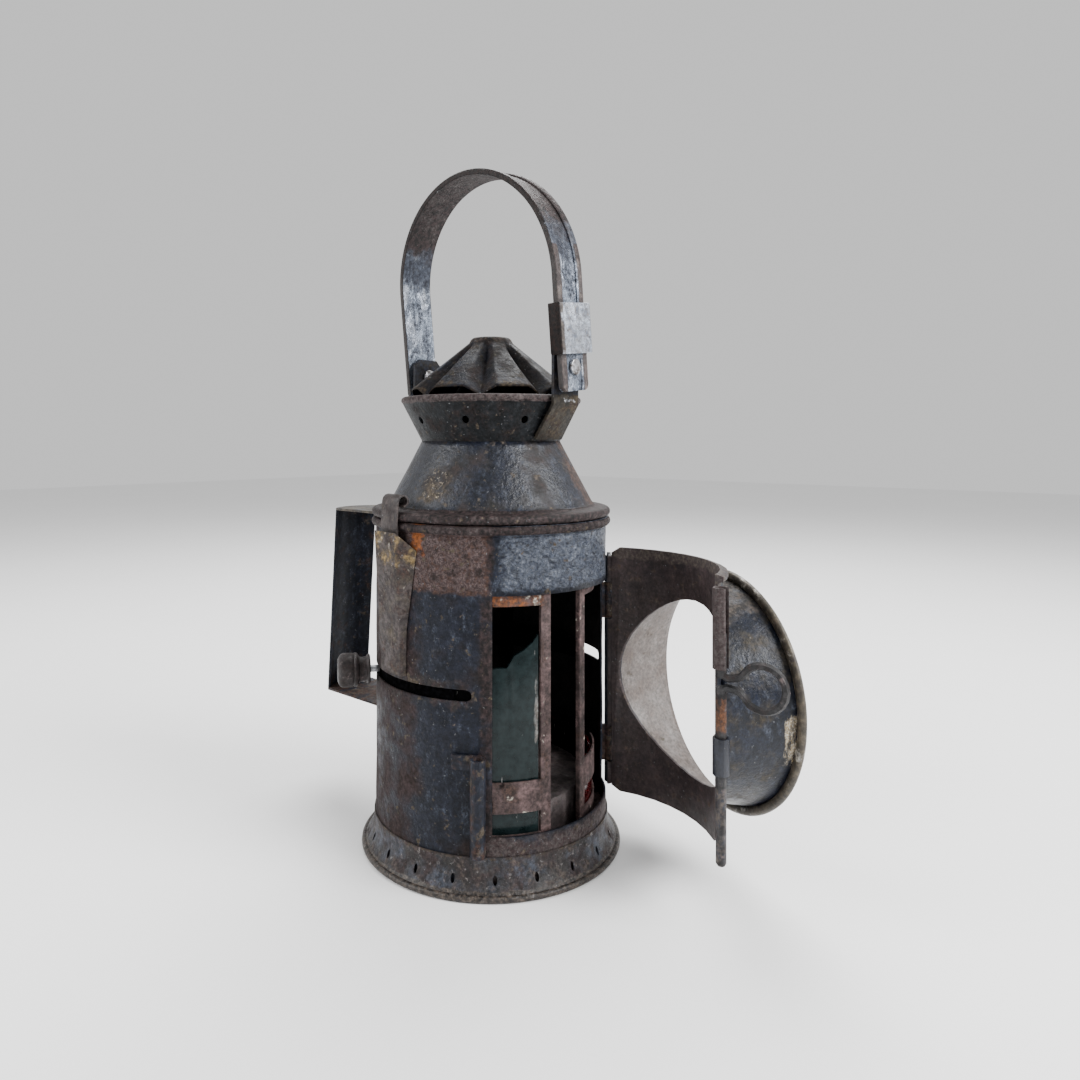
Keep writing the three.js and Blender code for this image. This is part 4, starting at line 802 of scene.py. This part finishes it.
def bright_steel():
    return coated("rivet_steel", TIN, STEEL_LIGHT, 3.0, [
        layer((GREY_BROWN, RUST_DARK), 3.5, 0.35, 0.08, 0.6, 0.04),
    ], rough=0.36, metal=0.85, bump=0.2, lump=3.0)


def hood_inside():
    return coated("hood_inside", (0.105, 0.09, 0.083), (0.16, 0.145, 0.138), 7.0, [
        layer((0.078, 0.058, 0.048), 12.0, 0.46, 0.2, 0.5, 0.02),
        layer((OLIVE, GREY_BROWN), 5.0, 0.04, 0.08, 0.7, 0.03),
    ], rough=0.45, metal=0.1, bump=0.25)


def hood_outside():
    """Navy paint, brown at the top, with cream chips beside the wire."""
    def cream_patch(net):
        spot = OPEN @ Vector((-HOOD_RIM_R + 1, -(DOOR_SKIN_R + HOOD_REACH - 4), 0))
        near = net.span(net.reach(spot.x, spot.y), 6, 2)
        return net.times(near, net.band(net.z, LENS_Z - 22, LENS_Z + 6, 6))

    def top(net):
        return net.span(net.z, LENS_Z + 22, LENS_Z + 40)

    return coated("hood_paint", (0.003, 0.0042, 0.008), (0.009, 0.0115, 0.021), 8.0, [
        SCUFFS,
        layer((OLIVE, BLACK_BROWN), 9.0, 0.3, 0.12, 0.6, 0.04),
        layer((BLACK_BROWN, GREY_BROWN), 8.0, 0.6, 0.12, 0.7, 0.04, where=top),
        layer((CREAM, OCHRE), 2.2, 0.5, 0.1, 0.6, 0.04, where=cream_patch, stretch=(1, 1, 0.35)),
        SPECKS,
    ], rough=0.3, bump=0.55, fine=0.3, sheen=0.26, grit=0.7)


def wire_finish():
    return coated("wire_brown", (0.03, 0.025, 0.018), (0.1, 0.08, 0.055), 5.0, [
        layer((RUST_DARK, OLIVE), 7.0, 0.42, 0.1, 0.62, 0.05),
        layer((TIN, CREAM), 6.0, 0.12, 0.08, 0.4, 0.03, metal=0.2),
    ], rough=0.48, metal=0.25, bump=0.3, lump=5.0)


def soot():
    return coated("soot", SOOT_AND_SHADE, SOOT_LIGHT, 9.0, [
        layer((RUST_DARK, BLACK_BROWN), 16.0, 0.2, 0.1, 0.85, 0.04),
    ], rough=0.85, bump=0.4, sheen=0.12)


def tin():
    return coated("font_tin", TIN_DARK, (0.125, 0.103, 0.102), 8.0, [
        layer((RUST_DARK, MAUVE), 10.0, 0.4, 0.1, 0.7, 0.05),
        layer(MAUVE_LIGHT, 6.0, 0.2, 0.08, 0.5, 0.03, metal=0.3),
    ], rough=0.46, metal=0.3, bump=0.3)


def brass():
    return coated("burner_brass", BRASS_DARK, BRASS, 5.0, [
        layer((SOOT_AND_SHADE, BLACK_BROWN), 7.0, 0.5, 0.1, 0.7, 0.03),
    ], rough=0.42, metal=0.7, bump=0.2, lump=5.0)


def wick_cotton():
    return coated("cotton", COTTON_DARK, COTTON, 2.5, [
        layer(SOOT_AND_SHADE, 5.0, 1.3, 0.12, 0.95, 0.0, where=lambda net: net.span(net.z, 66, 69)),
    ], rough=0.9, bump=0.2, fine=0.3, lump=2.0, sheen=0.1)


def glass(name, deep, pale, smear):
    """Thick dark glass with smears beside the frame's bar, and painted shade: near-black without
    reflection where it stands behind the barrel's wall.
    """
    def clear_of_wall(net):
        return net.span(net.math("ABSOLUTE", net.bearing()), doorway_half + 2, doorway_half - 1)

    def by_bar(net):
        across = net.band(net.math("ABSOLUTE", net.bearing()), 25, 29, 2)
        return net.times(across, net.band(net.z, 58, 92, 6))

    # painted shade: the base coat is near-black; the glass's own colour and reflection show only clear of
    # the barrel's wall
    return coated(name, UNLIT, SOOT_AND_SHADE, 14.0, [
        layer((deep, pale), 16.0, 1.8, 0.1, 0.2, 0.0, where=clear_of_wall, sheen=0.16),
        layer((PALE, GREY_BROWN), 5.0, smear, 0.1, 0.5, 0.02, where=by_bar, stretch=(1, 1, 0.4)),
        layer(PALE, 3.0, -0.1, 0.05, 0.7, 0.03, stretch=(1, 1, 0.4)),
    ], rough=0.9, bump=0.12, fine=0.02, sheen=0.0, grit=0.15, clear=0.06)


# Pieces
def dress(piece, body, slot_name, materials, *nodes):
    for material in materials:
        piece.data.materials.append(material)
    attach(piece, body)
    if nodes:
        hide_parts(*nodes)


def make_barrel(paint, inside):
    """Rolled-rim shell with the doorway and two slots left out of its grid."""
    back = 180 - SLOT_BACK_GAP
    green = (-back, -doorway_half - GREEN_SLOT_START)
    red = (doorway_half + RED_SLOT_START, back)
    bearings = spread([-180, *green, -doorway_half, doorway_half, *red, 180], 2.0)[:-1]
    low, high = DOORWAY_Z
    seam = barrel_high.z - 2 * ROLL
    slot_rows = [SLOT_Z - SLOT_HALF + SLOT_HALF * k / 4 for k in range(9)]
    heights = spread([barrel_low.z, low, *slot_rows, high, seam - 1.4], 4.0)
    profile = [(BARREL_R, z) for z in heights] + [(BARREL_R - 0.3, seam - 0.6)]
    profile += roll(BARREL_R, seam + ROLL, ROLL, -80, 90, 8)
    profile.append((BARREL_R - SHEET / 2, barrel_high.z - 0.2))
    ends = [(green[1], -1), (green[0], 1), (red[0], 1), (red[1], -1)]

    def rounded(bearing, z):
        off = abs(z - SLOT_Z)
        for end, inwards in ends:
            if abs(bearing - end) < 1e-6 and off < SLOT_HALF + 1e-6:
                cap = SLOT_HALF - math.sqrt(max(0.0, SLOT_HALF ** 2 - off ** 2))
                return bearing + inwards * math.degrees(cap / BARREL_R)
        return bearing

    rows = []
    for radius, z in profile:
        row = []
        for bearing in bearings:
            at = polar(radius, bearing, z)
            fade = min(1.0, max(0.0, (seam - z) / 12)) * min(1.0, max(0.0, (z - 17) / 8))
            dent = 0.38 * lumps(at, 38.0) + 0.12 * lumps(at, 9.0, 3.0) - 0.15
            row.append(polar(radius + fade * dent, rounded(bearing, z), z))
        rows.append(row)

    def keep(j, i):
        z = (profile[j][1] + profile[j + 1][1]) / 2
        following = bearings[i + 1] if i + 1 < len(bearings) else 180
        bearing = (bearings[i] + following) / 2
        in_doorway = abs(bearing) < doorway_half and low < z < high
        past_slot = not (green[0] < bearing < green[1] or red[0] < bearing < red[1])
        return not in_doorway and (past_slot or abs(z - SLOT_Z) >= SLOT_HALF)

    piece = grid_piece("barrel_shell", rows, keep=keep)
    thickened(piece, SHEET)
    smoothed(piece)
    dress(piece, "body", "blue_black_paint", [paint, inside], "barrel")


def make_base(paint):
    outside = skirt_high.x
    middle = outside - FOOT_ROLL
    inner = BARREL_R + GAP
    top = skirt_high.z
    outer = inner + SKIRT_EDGE
    bead = roll(middle, FOOT_ROLL, FOOT_ROLL, 110, -199, 20)

    def curve(start, end, shares):
        return [(start[0] + (end[0] - start[0]) * t ** SKIRT_CURL, start[1] + (end[1] - start[1]) * t)
                for t in shares]

    steps = [k / 12 for k in range(12)]
    slope = curve((outer, top - 0.2), bead[0], steps)
    back = curve((inner, top), bead[-1], steps)[::-1]
    profile = [*slope, *bead, *back]
    piece = revolved("base_shell", profile[::-1], closed=True)
    vents = [drum(f"vent_{k}", BASE_VENT_R, inner - 1, outside + 2,
                  (k + BASE_VENT_FIRST) * 360 / BASE_VENTS, BASE_VENT_Z, stretch=2)
             for k in range(BASE_VENTS)]
    holed(piece, vents)
    smoothed(piece, 40)
    dress(piece, "body", "blue_black_paint", [paint], "base_skirt")


def make_cone(paint, inside):
    foot = cone_low.z
    rim_middle = foot + ROLL
    ledge = foot + LEDGE_DROP
    waist = cone_high.z
    profile = [(BARREL_R - 2, foot - LID_LIP), (BARREL_R - 2, foot), (BARREL_R - 0.8, foot + 0.1)]
    profile += roll(BARREL_R, rim_middle, ROLL, -90, 80, 8)
    profile += [(BARREL_R - 0.6, foot + 2 * ROLL), (LEDGE_R + 1.2, ledge - 0.1),
                (LEDGE_R + 0.3, ledge + 0.3)]
    for k in range(1, 15):
        t = k / 14
        profile.append((LEDGE_R + (WAIST_R - LEDGE_R) * t, ledge + (waist - ledge) * t))
    piece = revolved("cone_shell", profile, dent=0.22, dent_size=26.0)
    thickened(piece, SHEET)
    smoothed(piece)
    dress(piece, "lid", "blue_black_paint", [paint, inside], "lid_cone")


def make_collar(paint, inside):
    foot = collar_low.z
    deck = collar_high.z - COLLAR_ROLL
    rim_r = collar_high.x - COLLAR_ROLL
    bead = roll(rim_r, deck, COLLAR_ROLL, -55, 165, 14)
    slope = [(WAIST_R + (bead[0][0] - WAIST_R) * t, foot + (bead[0][1] - foot) * t) for t in
             [k / 10 for k in range(10)]]
    piece = revolved("collar_shell", [*slope, *bead], dent=0.1)
    thickened(piece, COLLAR_SHEET)
    settle(piece)
    holes = [drum(f"air_{k}", COLLAR_HOLE_R, WAIST_R - 6, collar_high.x + 2,
                  COLLAR_HOLE_FIRST + 360 * k / COLLAR_HOLES, COLLAR_HOLE_Z) for k in range(COLLAR_HOLES)]
    holed(piece, holes)
    smoothed(piece)
    dress(piece, "lid", "blue_black_paint", [paint, inside], "vent_collar")


def make_cap(paint, inside):
    """Pleated cap: broad lobes lifted clear of the deck between narrow pinched feet."""
    per_lobe = 28
    around = CAP_LOBES * per_lobe
    top = cap_high.z
    foot = cap_low.z + SHEET
    brow = top - CAP_CROWN_DROP
    slope = brow - foot - CAP_LOBE_LIFT
    crown = CAP_TOP_R - CAP_BROW

    def ridge(r):
        if r < crown:
            return top - CAP_DISH * (r / crown) ** 2
        if r < CAP_TOP_R:
            return top - CAP_DISH - (CAP_CROWN_DROP - CAP_DISH) * ((r - crown) / CAP_BROW) ** 1.6
        return brow - slope * (r - CAP_TOP_R) / (CAP_R - CAP_TOP_R)

    radii = spread([0.6, crown, CAP_TOP_R], 1.2) + spread([CAP_TOP_R, CAP_R - 1.0, CAP_R], 1.5)[1:]
    rows = []
    for r in radii:
        u = max(0.0, (r - CAP_TOP_R) / (CAP_R - CAP_TOP_R))
        fall = min(1.0, u / CAP_PLEAT_FULL)
        fall = fall * (2 - fall)
        row = []
        for k in range(around):
            bearing = CAP_LOBE_FIRST + 360 * k / around
            off = abs((k / per_lobe + 0.5) % 1 - 0.5) * 2
            pleat = max(0.0, (off - CAP_FLAT) / (1 - CAP_FLAT)) ** 1.15
            at = polar(r, bearing, 0)
            radius = r - CAP_PINCH * pleat * fall - 0.3 * (1 + lumps(at, 9.0)) * u
            z = ridge(r) - CAP_LOBE_LIFT * pleat * fall - 0.15 * (1 + lumps(at, 6.0, 2.0)) * u
            row.append(polar(radius, bearing, max(z, foot)))
        rows.append(row)
    piece = grid_piece("cap_shell", rows[::-1])
    thickened(piece, CAP_SHEET)
    smoothed(piece, 50)
    dress(piece, "lid", "dark_paint", [paint, inside], "vent_cap")


def make_hood(paint, inside, wire):
    """Flared hood that grows out of the door's curve, and the wire rolled into its rim."""
    rim_y = -(DOOR_SKIN_R + HOOD_REACH)
    base_y = -math.sqrt(DOOR_SKIN_R ** 2 - LENS_R ** 2)
    flare = (HOOD_RIM_R - LENS_R) / (base_y - rim_y)
    steps = 160
    seat = DOOR_SKIN_R + GAP

    def round_lens(radius, y, turned):
        return Vector((radius * math.cos(turned), y, LENS_Z + radius * math.sin(turned)))

    def start(turned):
        y = base_y
        for _ in range(12):
            across = (LENS_R + SHEET + flare * (base_y - y)) * math.cos(turned)
            y = -math.sqrt(max(0.0, seat ** 2 - across ** 2))
        return y

    starts = [start(2 * math.pi * k / steps) for k in range(steps)]
    rows = []
    for t in [k / 14 for k in range(15)]:
        row = []
        for k in range(steps):
            turned = 2 * math.pi * k / steps
            y = starts[k] + (rim_y - starts[k]) * t
            radius = LENS_R + SHEET + flare * (base_y - y)
            radius += 0.3 * t * lumps(round_lens(radius, y, turned), 24.0)
            row.append(round_lens(radius, y, turned))
        rows.append(row)
    piece = grid_piece("hood_shell", rows, place=OPEN)
    thickened(piece, SHEET)
    smoothed(piece)
    dress(piece, "door", "blue_black_paint", [paint, inside], "lens_hood")

    press = 0.45  # the wire is pressed in on the hood
    wire_r = HOOD_RIM_R + SHEET + GAP + HOOD_WIRE - press
    rows = []
    for j in range(16):
        ring_turn = 2 * math.pi * j / 16
        row = []
        for k in range(steps):
            turned = 2 * math.pi * k / steps
            radius = wire_r + (HOOD_WIRE + press) * math.cos(ring_turn)
            y = rim_y + 0.9 * HOOD_WIRE + HOOD_WIRE * math.sin(ring_turn)
            radius += 0.12 * lumps(round_lens(radius, y, turned), 12.0)
            row.append(round_lens(radius, y, turned))
        rows.append(row)
    piece = grid_piece("hood_wire", rows[::-1], closed=True, place=OPEN)
    smoothed(piece, 80)
    dress(piece, "door", "brown_metal", [wire], "hood_rim_wire")


def make_strap(steel):
    """Hemmed strap swept round the bail's arch."""
    hem_out = strap_high.y
    strap_out = hem_out - STRAP_HEM
    inner = strap_out - STRAP_SHEET
    thick = STRAP_SHEET + STRAP_HEM
    fold = STRAP_HALF - STRAP_HEM_WIDTH
    half = [(STRAP_HALF - 0.3, 0), (STRAP_HALF, 0.4), (STRAP_HALF, thick - 0.7), (STRAP_HALF - 0.6, thick),
            (fold + 0.6, thick), (fold, thick - 0.35), (fold - 0.2, STRAP_SHEET)]
    section = half + [(-x, n) for x, n in half[::-1]]
    tail = bail_pivot.z - STRAP_TAIL
    legs = spread([tail, tail + 0.5, tail + 1.3, tail + 2.6, BAIL_SPRING_Z], 4.0)
    rise = BAIL_TOP - BAIL_SPRING_Z - thick
    path = [(Vector((0, -inner, z)), Vector((0, -1, 0))) for z in legs]
    arch = 72
    for k in range(1, arch):
        turned = math.pi * k / arch
        normal = Vector((0, -rise * math.cos(turned), inner * math.sin(turned))).normalized()
        at = Vector((0, -inner * math.cos(turned), BAIL_SPRING_Z + rise * math.sin(turned)))
        path.append((at, normal))
    path += [(Vector((0, inner, z)), Vector((0, 1, 0))) for z in legs[::-1]]
    rows = []
    for index, (at, out) in enumerate(path):
        from_end = min(index, len(path) - 1 - index)
        width = (0.72, 0.86, 0.95, 1.0)[min(from_end, 3)]
        wave = 0.12 * lumps(at, 13.0)
        rows.append([at + out * (n + wave * (n < 1)) + Vector((x * width, 0, 0)) for x, n in section])
    piece = grid_piece("strap", rows[::-1], capped=True, place=LEAN)
    smoothed(piece, 34)
    dress(piece, "bail", "worn_steel", [steel], "bail_strap")


def make_knob(colour, body, material):
    """Turned knob on a bearing: a flange, a waist and a rounded grip."""
    low, high = extent(f"{colour}_knob_stem")
    middle = (low + high) / 2
    bearing = math.degrees(math.atan2(middle.x, -middle.y))
    start = BARREL_R + ROLL + 1
    rows = []
    for radius, along in KNOB_PROFILE:
        row = []
        for k in range(KNOB_STEPS):
            turned = 2 * math.pi * k / KNOB_STEPS
            side = polar(radius * math.cos(turned), bearing + 90, 0)
            row.append(polar(start + along, bearing, SLOT_Z + radius * math.sin(turned)) + side)
        rows.append(row)
    piece = grid_piece(f"{colour}_knob_turned", rows[::-1])
    smoothed(piece, 40)
    dress(piece, body, "rusty_sheet", [material], f"{colour}_knob")


def softened(node, material, bevel=0.25):
    """A solid kept as it is, with eased edges, smooth rounds and a finish."""
    piece = frame["nodes"][node]
    weld = piece.modifiers.new("weld", "WELD")
    weld.merge_threshold = 1e-6
    if bevel:
        ease = piece.modifiers.new("ease", "BEVEL")
        ease.width = bevel * MM
        ease.segments = 2
        ease.limit_method = "ANGLE"
        ease.angle_limit = math.radians(EASE_ANGLE)
    rounds = piece.modifiers.new("rounds", "NODES")
    rounds.node_group = rounding
    piece.data.materials.clear()
    piece.data.materials.append(material)


def rounding_nodes():
    """Smooth shading except across sharp edges."""
    group = bpy.data.node_groups.new("smooth_rounds", "GeometryNodeTree")
    group.interface.new_socket("Geometry", in_out="INPUT", socket_type="NodeSocketGeometry")
    group.interface.new_socket("Geometry", in_out="OUTPUT", socket_type="NodeSocketGeometry")
    start = group.nodes.new("NodeGroupInput")
    end = group.nodes.new("NodeGroupOutput")
    normals = group.nodes.new("GeometryNodeSetMeshNormal")
    normals.mode = "SHARPNESS"
    fold = group.nodes.new("GeometryNodeInputMeshEdgeAngle")
    sharp = group.nodes.new("FunctionNodeCompare")
    sharp.operation = "GREATER_THAN"
    group.links.new(fold.outputs["Unsigned Angle"], sharp.inputs["A"])
    sharp.inputs["B"].default_value = math.radians(SHARP_ANGLE)
    group.links.new(start.outputs["Geometry"], normals.inputs["Mesh"])
    normals.inputs["Remove Custom"].default_value = True
    group.links.new(sharp.outputs["Result"], normals.inputs["Edge Sharpness"])
    normals.inputs["Face Sharpness"].default_value = False
    group.links.new(normals.outputs["Mesh"], end.inputs["Geometry"])
    return group


rounding = rounding_nodes()

inner_soot = soot()
make_barrel(painted_barrel(), inner_soot)
make_base(painted_base())
make_cone(painted_cone(), inner_soot)
make_collar(painted_collar(), inner_soot)
make_cap(painted_cap(), inner_soot)
make_hood(hood_outside(), hood_inside(), wire_finish())
make_strap(strap_finish())

knob_brown = knob_finish()
make_knob("green", "green_shade", knob_brown)
make_knob("red", "red_shade", knob_brown)

fitting_paint = plain_paint("fitting_paint", 0.35)
worn_paint = plain_paint("worn_paint", 0.62)
grip_paint = plain_paint("grip_paint", 0.1)
frame_rust_and_painted_shade = shade_finish()
ear_steel = ear_finish()
steel = bright_steel()

softened("base_plate", inner_soot)
softened("latch_keeper", fitting_paint)
softened("handle_top_plate", plate_finish())
softened("handle_bottom_plate", worn_paint)
softened("handle_grip", grip_paint)
softened("catch_pocket", pocket_finish(), bevel=0.4)
softened("catch_spring", spring_finish(), bevel=0.2)
softened("door_panel", door_finish(), bevel=0.2)
softened("latch_rod", rod_finish(), bevel=0.0)
softened("vent_deck", inner_soot)
softened("bail_sleeve", sleeve_finish(), bevel=0.5)
for side in ("front", "rear"):
    softened(f"bail_ear_{side}", ear_steel, bevel=0.35)
    softened(f"bail_rivet_{side}", steel, bevel=0.5)
    softened(f"bail_washer_{side}", steel)
for level in ("lower", "upper"):
    softened(f"hinge_lug_{level}", worn_paint)
    softened(f"shade_track_{level}", frame_rust_and_painted_shade)
for name in ("door_hinge_pin", "lid_hinge_pin"):
    softened(name, steel, bevel=0.15)
for name in ("lid_hinge_lug", "lid_hinge_leaf"):
    softened(name, fitting_paint)
for colour, material in (("green", glass("green_glass", GREEN, GREEN_PALE, 0.42)),
                         ("red", glass("red_glass", RED_DARK, RED, 0.2))):
    softened(f"{colour}_shade_frame", frame_rust_and_painted_shade, bevel=0.15)
    softened(f"{colour}_glass", material, bevel=0.2)
    softened(f"{colour}_knob_stem", steel, bevel=0.15)
softened("oil_font", tin(), bevel=0.4)
burner_metal = brass()
softened("burner_cap", burner_metal)
softened("wick_tube", burner_metal, bevel=0.15)
softened("wick", wick_cotton(), bevel=0.15)


# Floor, light and camera
CAMERA_AZIMUTH = -48.5
CAMERA_DISTANCE = 386.0
CAMERA_HEIGHT = 187.0
PHOTO_SIDE = 1080
FOCAL_PIXELS = 813.9
AXIS_PIXEL = 491
HORIZON_PIXEL = 438


def make_floor():
    half = 3000
    rows = [[Vector((x, y, 0)) for x in (-half, half)] for y in (-half, half)]
    floor = grid_piece("floor", rows, around=False)
    net = Net("pale_floor")
    tone = net.mix(net.noise(180.0, 3.0), (0.86, 0.86, 0.86), (0.9, 0.9, 0.9))
    net.feed(tone, net.shader.inputs["Base Color"])
    net.shader.inputs["Roughness"].default_value = 0.9
    net.shader.inputs["Specular IOR Level"].default_value = 0.1
    floor.data.materials.append(net.material)


def aim(thing, at, target):
    thing.location = at * MM
    thing.rotation_euler = (target - at).to_track_quat("-Z", "Y").to_euler()


def make_light(name, bearing, distance, height, size, watts):
    lamp = bpy.data.lights.new(name, "AREA")
    lamp.shape = "DISK"
    lamp.size = size * MM
    lamp.energy = watts
    holder = bpy.data.objects.new(name, lamp)
    bpy.context.scene.collection.objects.link(holder)
    aim(holder, polar(distance, bearing, height), Vector((0, 0, 140)))


def make_world():
    world = bpy.data.worlds.new("studio")
    world.use_nodes = True
    background = world.node_tree.nodes["Background"]
    background.inputs["Color"].default_value = (1, 1, 1, 1)
    background.inputs["Strength"].default_value = 0.8
    bpy.context.scene.world = world


def make_camera():
    camera = bpy.data.cameras.new("photo")
    camera.sensor_width = 36
    camera.lens = camera.sensor_width * FOCAL_PIXELS / PHOTO_SIDE
    camera.shift_x = (PHOTO_SIDE / 2 - AXIS_PIXEL) / PHOTO_SIDE
    camera.shift_y = (HORIZON_PIXEL - PHOTO_SIDE / 2) / PHOTO_SIDE
    camera.clip_start = 0.01
    holder = bpy.data.objects.new("photo", camera)
    bpy.context.scene.collection.objects.link(holder)
    aim(holder, polar(CAMERA_DISTANCE, CAMERA_AZIMUTH, CAMERA_HEIGHT), Vector((0, 0, CAMERA_HEIGHT)))
    bpy.context.scene.camera = holder


make_floor()
make_world()
make_light("key", CAMERA_AZIMUTH + 62, distance=900, height=700, size=600, watts=22)
make_light("fill", CAMERA_AZIMUTH - 75, distance=900, height=600, size=500, watts=8)
make_light("top", CAMERA_AZIMUTH + 170, distance=600, height=1000, size=800, watts=16)
make_camera()
